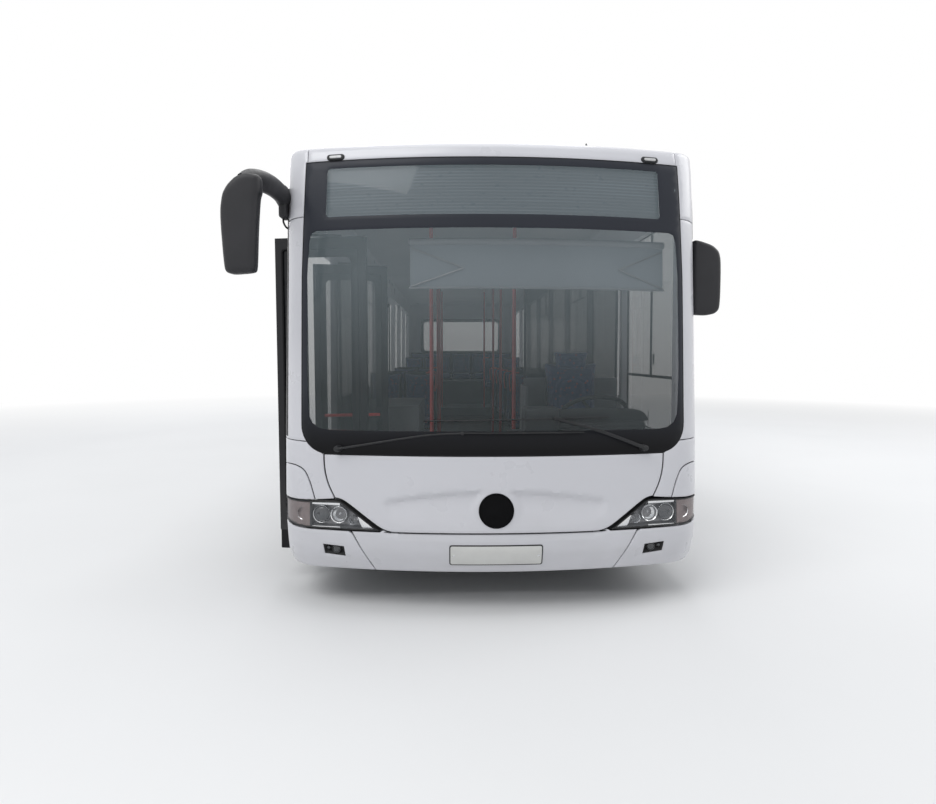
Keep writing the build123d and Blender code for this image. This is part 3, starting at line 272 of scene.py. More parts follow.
def floor_cover(name, color, fleck):
    """Speckled safety flooring."""
    material, tree, shader = new_material(name)
    cells = cell_pattern(tree, 260.0)
    spots = remap(tree, cells.outputs["Distance"], 0.18, 0.26, 1.0, 0.0)
    scuffs = remap(tree, noise(tree, 3.0, 6.0), 0.4, 0.7, 0.0, 0.5)
    base = mixed(tree, scuffs, color, shade(color, 1.5))
    tree.links.new(mixed(tree, spots, base, fleck), shader.inputs["Base Color"])
    tree.links.new(remap(tree, noise(tree, 12.0), 0.3, 0.7, 0.55, 0.8), shader.inputs["Roughness"])
    bump(tree, shader, spots, 0.0003)
    return material


def lined(name, color, line, pitch, rough=0.35):
    """Dark panel with fine level lines, as on a row of lamps behind louvres."""
    material, tree, shader = new_material(name)
    lines = remap(tree, wave(tree, 1 / pitch / 3.1416, "Z"), 0.55, 0.9, 0.0, 1.0)
    patchy = remap(tree, noise(tree, 1.4, 3.0, (0.6, 1, 14)), 0.35, 0.65, 0.15, 1.0)
    tint = mixed(tree, maths(tree, "MULTIPLY", lines, patchy), color, line)
    tree.links.new(tint, shader.inputs["Base Color"])
    tree.links.new(remap(tree, noise(tree, 30.0), 0.3, 0.7, rough - 0.1, rough + 0.1),
                   shader.inputs["Roughness"])
    return material


# The white paint's tint towards the ground is partly dirt and partly painted shade from the ground under the
# bus.
WHITE = surface("coach_white", (0.60, 0.60, 0.632), 0.32, coat=0.35, vary=0.02, blotch=1.2, grain=900,
                depth=0.00002, dust_and_shade=0.22, dust_and_shade_z=0.80, dust_and_shade_color=(0.30, 0.285, 0.265))
ROOF_WHITE = surface("roof_white", (0.58, 0.58, 0.60), 0.45, coat=0.2, vary=0.05, blotch=1.5, grain=500,
                     depth=0.00004)
PLASTIC = surface("black_plastic", (0.020, 0.021, 0.023), 0.5, vary=0.15, blotch=6, grain=700,
                  depth=0.00015,
                  specular=0.25, dust_and_shade=0.10, dust_and_shade_z=1.2)
MIRROR_SHELL = surface("mirror_plastic", (0.026, 0.026, 0.029), 0.45, vary=0.12, blotch=5, grain=900,
                       depth=0.0001, specular=0.3)
DISC = surface("disc_black", (0.0045, 0.0045, 0.005), 0.55, vary=0.15, blotch=12, grain=500, depth=0.0001,
               specular=0.05)
RUBBER = surface("rubber", (0.010, 0.010, 0.011), 0.7, vary=0.2, blotch=8, grain=400, depth=0.0002,
                 specular=0.2)
# Flat black for black parts, and for painted shade in hand holes, slots, fan wells and intakes.
BLACK_AND_SHADE = surface("black_and_cavity_shade", (0.010, 0.010, 0.011), 0.8, vary=0.2, blotch=8, grain=200, depth=0.0002,
               specular=0.1)
DOOR = surface("door_dark", (0.013, 0.013, 0.015), 0.45, vary=0.1, blotch=3, grain=800, depth=0.00004,
               specular=0.3, dust_and_shade=0.10, dust_and_shade_z=0.8)
TYRE = surface("tyre_rubber", (0.020, 0.020, 0.021), 0.8, vary=0.2, blotch=10, grain=350, depth=0.0004,
               specular=0.2, dust_and_shade=0.35, dust_and_shade_z=1.2, dust_and_shade_color=(0.20, 0.19, 0.17))
STEEL = surface("wheel_silver", (0.50, 0.51, 0.53), 0.38, metallic=0.5, vary=0.08, blotch=8, grain=500,
                depth=0.00006, dust_and_shade=0.35, dust_and_shade_z=1.1, dust_and_shade_color=(0.22, 0.20, 0.18))
CHASSIS = surface("chassis_black", (0.030, 0.030, 0.032), 0.6, vary=0.2, blotch=6, grain=250,
                  depth=0.0003, dust_and_shade=0.4, dust_and_shade_z=0.7, dust_and_shade_color=(0.16, 0.145, 0.13))
IRON = surface("engine_iron", (0.16, 0.16, 0.165), 0.6, metallic=0.6, vary=0.25, blotch=6, grain=220,
               depth=0.0004)
DASH = surface("dash_plastic", (0.030, 0.031, 0.034), 0.6, vary=0.1, blotch=5, grain=600, depth=0.0002,
               specular=0.25)
CHROME = surface("chrome", (0.74, 0.75, 0.76), 0.12, metallic=1.0, vary=0.03, blotch=8, grain=300,
                 depth=0.00001)
LAMP_GREY = surface("lamp_grey", (0.16, 0.16, 0.165), 0.35, metallic=0.5, vary=0.1, blotch=12, grain=200,
                    depth=0.0001)
LENS_DARK = surface("projector_lens", (0.035, 0.038, 0.042), 0.06, coat=0.6, vary=0.1, blotch=20, grain=60,
                    depth=0.00001)
LENS_PALE = surface("marker_lens", (0.50, 0.50, 0.50), 0.25, coat=0.6, vary=0.1, blotch=30, grain=900,
                    depth=0.0001)
MIRROR_GLASS = surface("mirror_glass", (0.75, 0.77, 0.80), 0.03, metallic=1.0, vary=0.02, blotch=4,
                       grain=50,
                       depth=0.000001)
POLE = surface("pole_red", (0.45, 0.03, 0.025), 0.35, coat=0.4, vary=0.06, blotch=8, grain=500,
               depth=0.00005)
PANEL = surface("panel_grey", (0.16, 0.165, 0.175), 0.6, vary=0.06, blotch=3, grain=400, depth=0.0001)
PLATE = surface("plate_pale", (0.62, 0.62, 0.60), 0.35, vary=0.04, blotch=9, grain=600, depth=0.0001,
                dust_and_shade=0.2,
                dust_and_shade_z=0.7)
# Windscreen tint runs from dark low to pale blue-grey high: painted reflection of the sky.
GLASS_FRONT = sky_painted_glass("glass_front", (0.085, 0.105, 0.110), (0.30, 0.36, 0.385), (1.30, 1.95), 0.34)
# Border black turns paler and bluer with height: painted sky reflection on the print.
FRIT = sky_painted_black("frit_black", (0.004, 0.004, 0.005), (0.030, 0.033, 0.042), (0.95, 1.30))
GLASS_SIDE = glass("glass_side", (0.020, 0.026, 0.026), 0.55)
GLASS_DOOR = glass("glass_door", (0.030, 0.036, 0.036), 0.35)
GLASS_BULB = glass("bulb_glass", (0.75, 0.76, 0.78), 0.5, rough=0.05)
LENS = glass("lamp_cover", (0.50, 0.52, 0.55), 0.10, rough=0.02)
AMBER = glass("amber_glass", (0.75, 0.16, 0.03), 0.85, rough=0.12)
RED_LENS = glass("red_lens", (0.40, 0.008, 0.010), 0.92, rough=0.12)
FLASHER = surface("flasher_reflector", (0.20, 0.16, 0.155), 0.35, metallic=0.6, vary=0.1, blotch=20,
                  grain=300,
                  depth=0.0001)
SEAT = fabric("seat_moquette", (0.035, 0.055, 0.13), (0.09, 0.12, 0.24), (0.30, 0.06, 0.05))
BLIND = fabric("blind_cloth", (0.16, 0.18, 0.20), (0.24, 0.26, 0.28), (0.20, 0.22, 0.24))
FRIT_SIDE = surface("side_band_black", (0.012, 0.013, 0.015), 0.3, vary=0.1, blotch=2, grain=900,
                    depth=0.00001,
                    specular=0.25, dust_and_shade=0.08, dust_and_shade_z=1.6)
HUB = surface("hub_grey", (0.20, 0.20, 0.205), 0.45, metallic=0.6, vary=0.15, blotch=12, grain=300,
              depth=0.0001,
              dust_and_shade=0.35, dust_and_shade_z=1.1, dust_and_shade_color=(0.18, 0.165, 0.15))
FLOOR = floor_cover("floor_speckle", (0.10, 0.105, 0.11), (0.42, 0.43, 0.45))
DISPLAY = lined("display_lines", (0.045, 0.055, 0.066), (0.10, 0.125, 0.150), 0.019)


# Smooth skins of the body

def monotone(xs, ys):
    """Smooth curve through the points that never overshoots them."""
    count = len(xs)
    steps = [xs[i + 1] - xs[i] for i in range(count - 1)]
    slopes = [(ys[i + 1] - ys[i]) / steps[i] for i in range(count - 1)]
    tangents = [slopes[0]]
    for i in range(1, count - 1):
        if slopes[i - 1] * slopes[i] <= 0:
            tangents.append(0.0)
        else:
            w0 = 2 * steps[i] + steps[i - 1]
            w1 = steps[i] + 2 * steps[i - 1]
            tangents.append((w0 + w1) / (w0 / slopes[i - 1] + w1 / slopes[i]))
    tangents.append(slopes[-1])

    def value(x):
        i = min(max(int(np.searchsorted(xs, x)) - 1, 0), count - 2)
        h = steps[i]
        u = (x - xs[i]) / h
        if u < 0:
            return ys[0] + tangents[0] * (x - xs[0])
        if u > 1:
            return ys[-1] + tangents[-1] * (x - xs[-1])
        a = (1 + 2 * u) * (1 - u) ** 2
        b = u * (1 - u) ** 2
        c = u * u * (3 - 2 * u)
        d = u * u * (u - 1)
        return a * ys[i] + b * h * tangents[i] + c * ys[i + 1] + d * h * tangents[i + 1]

    return value


def half_width(z):
    """Half width of the body at height z."""
    if z >= CANT_Z:
        across = math.sqrt(max(CANT_R**2 - (z - EDGE_Z) ** 2, 0)) + EDGE_X
        crown = math.sqrt(max(CROWN_R**2 - (z - CROWN_CENTRE_Z) ** 2, 0))
        return min(across, crown) if z < EDGE_Z + CANT_R - 0.005 else crown
    for (z0, w0), (z1, w1) in zip(SIDE_ROWS, SIDE_ROWS[1:]):
        if z <= z1:
            return w0 + (w1 - w0) * (max(z, z0) - z0) / (z1 - z0)
    return SIDE_ROWS[-1][1]


class Skin:
    """Surface with two parameters, t across and v up; way is -1 where their cross product points inward."""

    way = 1

    def normal(self, t, v):
        h = 0.002
        across = self.place(t + h, v) - self.place(t - h, v)
        up = self.place(t, v + h) - self.place(t, v - h)
        out = np.cross(across, up) * self.way
        return out / np.linalg.norm(out)

    def point(self, t, v, off=0.0):
        spot = self.place(t, v)
        return spot + self.normal(t, v) * off if off else spot


class Cap(Skin):
    """Skin of an end of the body. t runs along a level outline from the middle, v up the middle profile."""

    def __init__(self, rows, bow, end_y, way):
        self.bow = bow
        self.end_y = end_y
        self.way = way
        profile = [0.0]
        for (z0, b0, _), (z1, b1, _) in zip(rows, rows[1:]):
            profile.append(profile[-1] + math.hypot(z1 - z0, b1 - b0))
        self.z_at = monotone(profile, [row[0] for row in rows])
        self.back_at = monotone(profile, [row[1] for row in rows])
        self.corner_at = monotone(profile, [row[2] for row in rows])
        self.v_at = monotone([row[0] for row in rows], profile)
        self.top = profile[-1]
        self.known = {}

    def section(self, v):
        key = round(v, 5)
        if key not in self.known:
            z = self.z_at(v)
            width = half_width(z)
            back = self.back_at(v)
            corner = min(self.corner_at(v), width * 0.6)
            reach = math.sqrt((self.bow - corner) ** 2 - (width - corner) ** 2)
            corner_y = back + self.bow - reach
            meet = math.atan2(width - corner, reach)
            bow_length = self.bow * meet
            corner_length = corner * (math.pi / 2 - meet)
            self.known[key] = (z, width, back, corner, corner_y, meet, bow_length, corner_length)
        return self.known[key]

    def place(self, t, v):
        z, width, back, corner, corner_y, meet, bow_length, corner_length = self.section(min(max(v, 0),
                                                                                             self.top))
        side = -1 if t < 0 else 1
        along = abs(t)
        if along <= bow_length:
            angle = along / self.bow
            x = self.bow * math.sin(angle)
            y = back + self.bow - self.bow * math.cos(angle)
        elif along <= bow_length + corner_length:
            angle = meet + (along - bow_length) / corner
            x = width - corner + corner * math.sin(angle)
            y = corner_y - corner * math.cos(angle)
        else:
            x = width
            y = corner_y + along - bow_length - corner_length
        return np.array((side * x, self.end_y + self.way * y, z))

    def at_x(self, x, z):
        """(t, v) of the skin's point with this x and z."""
        v = self.v_at(z)
        _, width, _, corner, _, meet, bow_length, corner_length = self.section(v)
        side = -1 if x < 0 else 1
        x = abs(x)
        if x <= self.bow * math.sin(meet):
            t = self.bow * math.asin(x / self.bow)
        elif x < width:
            angle = math.asin(min((x - width + corner) / corner, 1))
            t = bow_length + corner * (angle - meet)
        else:
            t = bow_length + corner_length
        return side * t, v

    def at_s(self, s, z, side=1):
        """(t, v) of the point on the straight side, s back from the end."""
        v = self.v_at(z)
        _, _, _, _, corner_y, _, bow_length, corner_length = self.section(v)
        return side * (bow_length + corner_length + s - corner_y), v

    def along_x(self, points):
        return [self.at_x(x, z) for x, z in points]


class Side(Skin):
    """Side wall. t runs back from the front face and v is the height."""

    def __init__(self, side):
        self.way = side

    def place(self, t, v):
        return np.array((self.way * half_width(v), FRONT + t, v))


class Flat(Skin):
    """Plane through a point, with its two directions."""

    def __init__(self, origin, across, up):
        self.origin = np.array(origin, dtype=float)
        self.across = np.array(across, dtype=float)
        self.up = np.array(up, dtype=float)

    def place(self, t, v):
        return self.origin + self.across * t + self.up * v


front = Cap(FRONT_ROWS, 4.2, FRONT, 1)
rear = Cap(REAR_ROWS, 9.0, REAR, -1)
walls = {"road": Side(1), "kerb": Side(-1)}
SIDES = (("road", 1), ("kerb", -1))


# Outlines

def smooth(points, per=8):
    """Points of a curve through the given ones."""
    result = []
    count = len(points)
    for i in range(count - 1):
        around = (points[max(i - 1, 0)], points[i], points[i + 1], points[min(i + 2, count - 1)])
        for k in range(per):
            u = k / per
            spot = []
            for a, b, c, d in zip(*around):
                bend = (2 * a - 5 * b + 4 * c - d) * u * u + (3 * b - a - 3 * c + d) * u**3
                spot.append((2 * b + (c - a) * u + bend) / 2)
            result.append(tuple(spot))
    result.append(tuple(points[-1]))
    return result


def round_rect(t, v, radius, per=6):
    """Closed outline of a rectangle with round corners between the pairs t and v."""
    loop = []
    for centre_t, centre_v, start in ((t[1] - radius, v[0] + radius, -90),
                                      (t[1] - radius, v[1] - radius, 0),
                                      (t[0] + radius, v[1] - radius, 90),
                                      (t[0] + radius, v[0] + radius, 180)):
        for k in range(per + 1):
            angle = math.radians(start + 90 * k / per)
            loop.append((centre_t + radius * math.cos(angle), centre_v + radius * math.sin(angle)))
    return loop


def circle(t, v, radius, count=24):
    angles = [2 * math.pi * k / count for k in range(count)]
    return [(t + radius * math.cos(a), v + radius * math.sin(a)) for a in angles]


def dense(loop, step):
    """The closed outline with no side longer than step."""
    result = []
    for a, b in zip(loop, loop[1:] + loop[:1]):
        length = math.hypot(b[0] - a[0], b[1] - a[1])
        if length < 1e-6:
            continue
        count = max(int(math.ceil(length / step)), 1)
        for k in range(count):
            result.append((a[0] + (b[0] - a[0]) * k / count, a[1] + (b[1] - a[1]) * k / count))
    return result


def area(loop):
    return sum(a[0] * b[1] - b[0] * a[1] for a, b in zip(loop, loop[1:] + loop[:1])) / 2


def moved_in(loop, distance):
    """Outline moved to its left by a distance."""
    result = []
    count = len(loop)
    for i in range(count):
        before = np.subtract(loop[i], loop[i - 1])
        after = np.subtract(loop[(i + 1) % count], loop[i])
        n0 = np.array((-before[1], before[0])) / max(np.linalg.norm(before), 1e-9)
        n1 = np.array((-after[1], after[0])) / max(np.linalg.norm(after), 1e-9)
        n = n0 + n1
        scale = max(float(np.dot(n, n)) / 2, 0.35)
        result.append(tuple(np.array(loop[i]) + n * distance / scale))
    return result


def mirrored(loop):
    return [(-t, v) for t, v in loop][::-1]


def on_side(side, loop):
    return loop if side > 0 else mirrored(loop)


def closed_half(half):
    """Symmetric outline from its right half."""
    return half + mirrored(half)


def within(points, loop):
    """Which of the points lie inside the loop."""
    x = points[:, 0]
    y = points[:, 1]
    flags = np.zeros(len(points), dtype=bool)
    for (x0, y0), (x1, y1) in zip(loop, loop[1:] + loop[:1]):
        if y0 == y1:
            continue
        crossing = (y0 > y) != (y1 > y)
        flags ^= crossing & (x < (x1 - x0) * (y - y0) / (y1 - y0) + x0)
    return flags


def clearance(points, loops):
    """Distance of each point from the nearest of the loops."""
    best = np.full(len(points), 1e9)
    for loop in loops:
        a = np.array(loop)
        d = np.roll(a, -1, axis=0) - a
        length = np.maximum((d**2).sum(axis=1), 1e-12)
        for start in range(0, len(points), 2000):
            part = points[start:start + 2000]
            along = ((part[:, None, :] - a[None]) * d[None]).sum(axis=2) / length
            nearest = a[None] + np.clip(along, 0, 1)[:, :, None] * d[None]
            gap = np.sqrt(((part[:, None, :] - nearest) ** 2).sum(axis=2)).min(axis=1)
            best[start:start + 2000] = np.minimum(best[start:start + 2000], gap)
    return best


def ease(value):
    value = min(max(value, 0.0), 1.0)
    return value * value * (3 - 2 * value)


def round_edge(distance, radius):
    """How far a rounded edge drops at a distance from it."""
    if distance >= radius:
        return 0.0
    return radius - math.sqrt(max(radius**2 - (radius - distance) ** 2, 0))


# Forms: each is (points, faces)

def sheet_form(skin, loop, step=0.035, edge=0.004, thick=0.016, off=0.0, holes=(), relief=None, bowl=None,
               closed=False):
    """Sheet on a skin with rounded edges and turned-in sides.

    relief(t, v) adds to its height, bowl = (depth, run) sinks it within its edge, closed gives it a back.
    """
    loop = dense(loop if area(loop) > 0 else loop[::-1], step)
    loops = [loop] + [dense(hole if area(hole) < 0 else hole[::-1], step / 2) for hole in holes]
    rings = (0.0, 0.25, 1.0) if edge < 0.008 else (0.0, 0.08, 0.3, 0.62, 1.0)
    points = []
    edges = []
    for ring in loops:
        distances = [edge * share for share in rings]
        if bowl:
            distances += [edge + bowl[1] * share for share in (0.5, 1.0)]
        for distance in distances:
            start = len(points)
            line = moved_in(ring, distance) if distance else ring
            points += line
            edges += [(start + i, start + (i + 1) % len(line)) for i in range(len(line))]
    ts = [p[0] for p in loop]
    vs = [p[1] for p in loop]
    rows = np.arange(min(vs), max(vs), step * 0.866)
    grid = [(t + (step / 2 if row % 2 else 0), v)
            for row, v in enumerate(rows) for t in np.arange(min(ts), max(ts), step)]
    grid = np.array(grid).reshape(-1, 2)
    keep = within(grid, loop)
    for ring in loops[1:]:
        keep &= ~within(grid, ring)
    keep &= clearance(grid, loops) > edge + step * 0.4
    points += [tuple(p) for p in grid[keep]]
    verts, _, faces, _, _, _ = delaunay_2d_cdt([Vector(p) for p in points], edges, [], 0, 1e-6)
    flat = np.array([(p.x, p.y) for p in verts])
    faces = [list(face) for face in faces]
    centres = np.array([flat[face].mean(axis=0) for face in faces])
    keep = within(centres, loop)
    for ring in loops[1:]:
        keep &= ~within(centres, ring)
    faces = [face for face, good in zip(faces, keep) if good]
    gaps = clearance(flat, loops)
    places = []
    for (t, v), gap in zip(flat, gaps):
        lift = off - round_edge(gap, edge)
        if relief:
            lift += relief(t, v)
        if bowl:
            lift -= bowl[0] * ease((gap - edge) / bowl[1])
        places.append(skin.point(t, v, lift))
    if skin.way < 0:
        faces = [face[::-1] for face in faces]
    border = {}
    for face in faces:
        for a, b in zip(face, face[1:] + face[:1]):
            if (b, a) in border:
                del border[(b, a)]
            else:
                border[(a, b)] = True
    backs = {}
    for index in (range(len(flat)) if closed else [i for pair in border for i in pair]):
        if index not in backs:
            t, v = flat[index]
            backs[index] = len(places)
            rounding = round_edge(gaps[index], min(edge, thick / 2)) if closed else 0.0
            places.append(skin.point(t, v, off - thick + rounding))
    if closed:
        faces += [[backs[i] for i in face[::-1]] for face in faces]
    faces += [[b, a, backs[a], backs[b]] for a, b in border]
    return places, faces


def lathe(profile, origin, axis, segments=32):
    """Surface of revolution from (distance along the axis, radius) points."""
    turn = Vector(axis).normalized().to_track_quat("Z", "X")
    points = []
    for along, radius in profile:
        for k in range(segments):
            angle = 2 * math.pi * k / segments
            local = Vector((radius * math.cos(angle), radius * math.sin(angle), along))
            points.append(Vector(origin) + turn @ local)
    faces = []
    for row in range(len(profile) - 1):
        for k in range(segments):
            a = row * segments + k
            b = row * segments + (k + 1) % segments
            faces.append((a, b, b + segments, a + segments))
    return points, faces


def tube(path, radii, sides=12, closed=False):
    """Bar along a path. radii is a number, a pair across and up, or a list of either for each point."""
    path = [Vector(p) for p in path]
    count = len(path)
    radii = radii if isinstance(radii, list) else [radii] * count
    radii = [r if isinstance(r, tuple) else (r, r) for r in radii]
    points = []
    across = None
    for i, spot in enumerate(path):
        if closed:
            along = (path[(i + 1) % count] - path[i - 1]).normalized()
        else:
            along = (path[min(i + 1, count - 1)] - path[max(i - 1, 0)]).normalized()
        if across is None:
            guess = Vector((0, 0, 1)) if abs(along.z) < 0.9 else Vector((0, 1, 0))
            across = along.cross(guess).normalized()
        else:
            across = (across - along * across.dot(along)).normalized()
        up = across.cross(along)
        for k in range(sides):
            angle = 2 * math.pi * k / sides
            points.append(spot + across * radii[i][0] * math.cos(angle) + up * radii[i][1] * math.sin(angle))
    faces = []
    for i in range(count if closed else count - 1):
        for k in range(sides):
            a = i * sides + k
            b = i * sides + (k + 1) % sides
            c = ((i + 1) % count) * sides + (k + 1) % sides
            d = ((i + 1) % count) * sides + k
            faces.append((a, d, c, b))
    if not closed:
        faces.append(tuple(range(sides)))
        faces.append(tuple((count - 1) * sides + k for k in range(sides))[::-1])
    return points, faces


def box(x, y, z, radius=0.008, turn=None, segments=3):
    """Block with rounded edges between the pairs x, y and z, turned by a matrix where one is given."""
    work = bmesh.new()
    bmesh.ops.create_cube(work, size=1)
    for vert in work.verts:
        vert.co = Vector((
            (x[0] + x[1]) / 2 + vert.co.x * (x[1] - x[0]),
            (y[0] + y[1]) / 2 + vert.co.y * (y[1] - y[0]),
            (z[0] + z[1]) / 2 + vert.co.z * (z[1] - z[0]),
        ))
    if radius:
        bmesh.ops.bevel(work, geom=work.edges[:], offset=radius, segments=segments, affect="EDGES",
                        profile=0.5)
    points = [vert.co.copy() for vert in work.verts]
    faces = [tuple(vert.index for vert in face.verts) for face in work.faces]
    work.free()
    if turn is not None:
        points = [turn @ p for p in points]
    return points, faces


def hexagon(origin, axis, radius, height):
    """Nut with a chamfered top on a washer."""
    washer = lathe([(0, 0), (0, radius * 1.35), (height * 0.15, radius * 1.35), (height * 0.15, 0)], origin,
                   axis, 16)
    nut = lathe([(height * 0.15, radius), (height * 0.85, radius), (height, radius * 0.8), (height, 0)],
                origin, axis, 6)
    return merge([washer, nut])


def merge(forms):
    points = []
    faces = []
    for form_points, form_faces in forms:
        start = len(points)
        points += [tuple(p) for p in form_points]
        faces += [tuple(i + start for i in face) for face in form_faces]
    return points, faces


def add(name, forms, material, body="body", node=None, angle=38):
    """Object from one form or a list of them, riding on a body and standing for the CAD nodes it replaces."""
    points, faces = merge(forms if isinstance(forms, list) else [forms])
    mesh = bpy.data.meshes.new(name)
    mesh.from_pydata([tuple(p) for p in points], [], faces)
    work = bmesh.new()
    work.from_mesh(mesh)
    bmesh.ops.remove_doubles(work, verts=work.verts, dist=1e-6)
    work.to_mesh(mesh)
    work.free()
    mesh.validate()
    mesh.shade_smooth()
    mesh.set_sharp_from_angle(angle=math.radians(angle))
    mesh.materials.append(material)
    piece = bpy.data.objects.new(name, mesh)
    bpy.context.scene.collection.objects.link(piece)
    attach(piece, body)
    if node:
        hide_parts(*([node] if isinstance(node, str) else node))
    return piece


def cap_normal(skin, t, v):
    return Vector(skin.normal(t, v))


# Front panels: outlines are x and z of the right half

SCREEN_LOW_Z = 0.919
SCREEN_HIGH_Z = 2.622
PILLAR_X = 1.130
PILLAR_SEAM_Z = 2.300
BUMPER_HIGH_Z = 0.474
FLAP_LOW_Z = 0.480
FLAP_HIGH_Z = 0.912
PLATE_Z = 0.350
DISC_Z = 0.607


def screen_edge(grow):
    """Windscreen's edge from the middle of its foot round to the middle of its head."""
    low = SCREEN_LOW_Z - grow
    foot = [(0.0, low), (0.5, low), (0.975, low)]
    corner = []
    for k in range(1, 12):
        angle = math.radians(-90 + 90 * k / 12)
        corner.append((0.964 + (0.166 + grow) * math.cos(angle), 1.083 + (0.164 + grow) * math.sin(angle)))
    side = [(PILLAR_X + grow, 1.085), (PILLAR_X + grow, 1.95), (1.1095 + grow, 2.6),
            (1.108 + grow, SCREEN_HIGH_Z + grow)]
    return foot + corner + side + [(0.0, SCREEN_HIGH_Z + grow)]


def screen_stretch(grow, low, high):
    return [(x, z) for x, z in screen_edge(grow) if low <= z <= high and x > 0.99]


FLAP_SEAM = smooth([(0.925, 0.668), (0.958, 0.735), (0.978, 0.80), (0.986, 0.86), (0.988, FLAP_HIGH_Z)], 5)
FLAP_FOOT = smooth([(0.55, FLAP_LOW_Z), (0.60, 0.483), (0.64, 0.495), (0.68, 0.517), (0.756, 0.571)], 5)
FLAP_EDGE = FLAP_FOOT + smooth([(0.756, 0.571), (0.868, 0.650), (0.925, 0.667)], 4)[1:] + FLAP_SEAM
ARC_SEAM = smooth([(1.049, 0.652), (1.080, 0.751), (1.118, 0.816), (1.18, 0.840), (1.25, 0.838)], 6)
FOG = [(0.868, 0.322), (0.992, 0.332), (1.000, 0.392), (0.876, 0.384)]
LAMP_FRONT = [(0.664, 0.484), (0.9, 0.484), (1.17, 0.484), (1.217, 0.4915)]
LAMP_TOP = [(1.25, 0.6285), (1.149, 0.634), (1.04, 0.6405), (0.932, 0.646), (0.900, 0.6435), (0.878, 0.633)]
LAMP_TOP += [(0.768, 0.554), (0.692, 0.498)]


def flap_relief(t, v):
    """Recess with an overhanging head that runs out to the surface at its foot and ends, and a ring in it."""
    x = abs(t)
    z = front.z_at(v)
    head = 0.726 - 0.060 * (x / 0.62) ** 2
    end = 0.615 + (z - 0.60) * 0.45
    ends = 1 / (1 + math.exp(min((x - end) / 0.009, 50)))
    drop = ease((head - z) / 0.030)
    rise = ease((z - 0.495) / 0.20)
    ring = math.hypot(t, z - DISC_Z)
    boss = ease((0.150 - ring) / 0.038)
    return -0.023 * drop * rise * ends * (1 - boss)


def front_flap():
    loop = closed_half(front.along_x([(0.0, FLAP_LOW_Z)] + FLAP_EDGE))
    form = sheet_form(front, loop, step=0.020, thick=0.018, relief=flap_relief)
    add("flap_panel", form, WHITE, "front_flap", "front_flap")
    t, v = front.at_x(0, DISC_Z)
    axis = cap_normal(front, t, v)
    rim = [(-0.004, 0.1), (0.004, 0.1), (0.007, 0.097), (0.007, 0.094), (0.003, 0.091), (0.004, 0.086)]
    dome = [(0.004 + 0.004 * (1 - (r / 0.086) ** 2), r) for r in (0.07, 0.05, 0.03, 0.01)]
    add("flap_disc", lathe(rim + dome + [(0.008, 0)], front.point(t, v), axis, 64), DISC, "front_flap")


def wing_inner():
    arc = [(x - 0.004, z + 0.003) for x, z in ARC_SEAM]
    seam = [(x + 0.008, z) for x, z in FLAP_SEAM[::-1]]
    loop = front.along_x([(0.936, 0.660), (1.0, 0.6545), (1.043, 0.6515)] + arc)
    loop += [front.at_s(s, z) for s, z in ((0.36, 0.832), (CAP_S, 0.826), (CAP_S, 0.983), (0.36, 0.983))]
    return loop + front.along_x([(1.25, 0.983), (1.16, 0.983)] + screen_stretch(0.004, 0.9,
                                                                                0.983)[::-1] + seam)


def wing_outer():
    arc = [(x + 0.002, z - 0.003) for x, z in ARC_SEAM]
    loop = front.along_x([(1.053, 0.6505), (1.149, 0.6430), (1.25, 0.6375)])
    side = ((0.32, 0.635), (0.436, 0.634), (0.436, 0.484), (CAP_S, 0.484), (CAP_S, 0.820), (0.36, 0.826))
    loop += [front.at_s(s, z) for s, z in side]
    return loop + front.along_x(arc[::-1])


def bumper_lip(loop):
    """Soft roll of the bumper's upper edge under the flap."""
    line = np.array(loop)

    def relief(t, v):
        gap = clearance(np.array([(t, v)]), [line])[0]
        return -round_edge(gap, 0.024) * 0.7

    return relief


def bumper_middle():
    top = [(0.0, BUMPER_HIGH_Z)] + [(x, z - 0.006) for x, z in FLAP_FOOT[:11]]
    right = [(0.0, 0.2405), (0.692, 0.2405), (0.712, 0.275), (0.825, 0.475), (0.665, 0.475)]
    loop = closed_half(front.along_x(right + top[::-1]))
    line = front.along_x(top)
    line = mirrored(line) + line
    form = sheet_form(front, loop, step=0.022, relief=bumper_lip(line + line[::-1]))
    add("bumper_middle", form, WHITE, node="bumper_front")


def bumper_corner():
    loop = front.along_x([(0.698, 0.2405), (0.90, 0.2405), (1.10, 0.2405), (1.2, 0.2405)])
    loop += [front.at_s(s, z) for s, z in ((0.36, 0.2405), (CAP_S, 0.2405), (CAP_S, 0.478), (0.36, 0.480))]
    head = [(1.217, 0.480), (1.17, 0.4755), (0.9, 0.475), (0.848, 0.475), (0.836, 0.468), (0.826, 0.462),
            (0.718, 0.275)]
    return loop + front.along_x(head)


def pillar_low():
    loop = front.along_x([(1.102, 0.987)] + screen_stretch(0.004, 0.987,
                                                           PILLAR_SEAM_Z - 0.002) + [(1.1233, 2.298)])
    head = [(1.2, 2.298)]
    side = ((0.42, 2.298), (CAP_S, 2.298), (CAP_S, 0.987), (0.40, 0.987))
    loop += front.along_x(head) + [front.at_s(s, z) for s, z in side]
    return loop + front.along_x([(1.25, 0.987), (1.2, 0.987)])


TOP_SEAM_Z = 2.772       # where the seam between top panel and corners meets the roof
TOP_Z = 2.8225


def pillar_high():
    loop = front.along_x([(1.2, 2.302)]) + [front.at_s(s, 2.302) for s in (0.45, CAP_S)]
    loop += [front.at_s(CAP_S, 2.3 + (TOP_SEAM_Z - 2.3) * k / 24) for k in range(1, 25)]
    climb = [(1.1035, TOP_SEAM_Z - (TOP_SEAM_Z - 2.63) * k / 8) for k in range(1, 9)]
    return loop + front.along_x(climb + [(1.1035, 2.6265), (1.1128, 2.6265), (1.1135, 2.6),
                                         (1.1229, 2.302)])


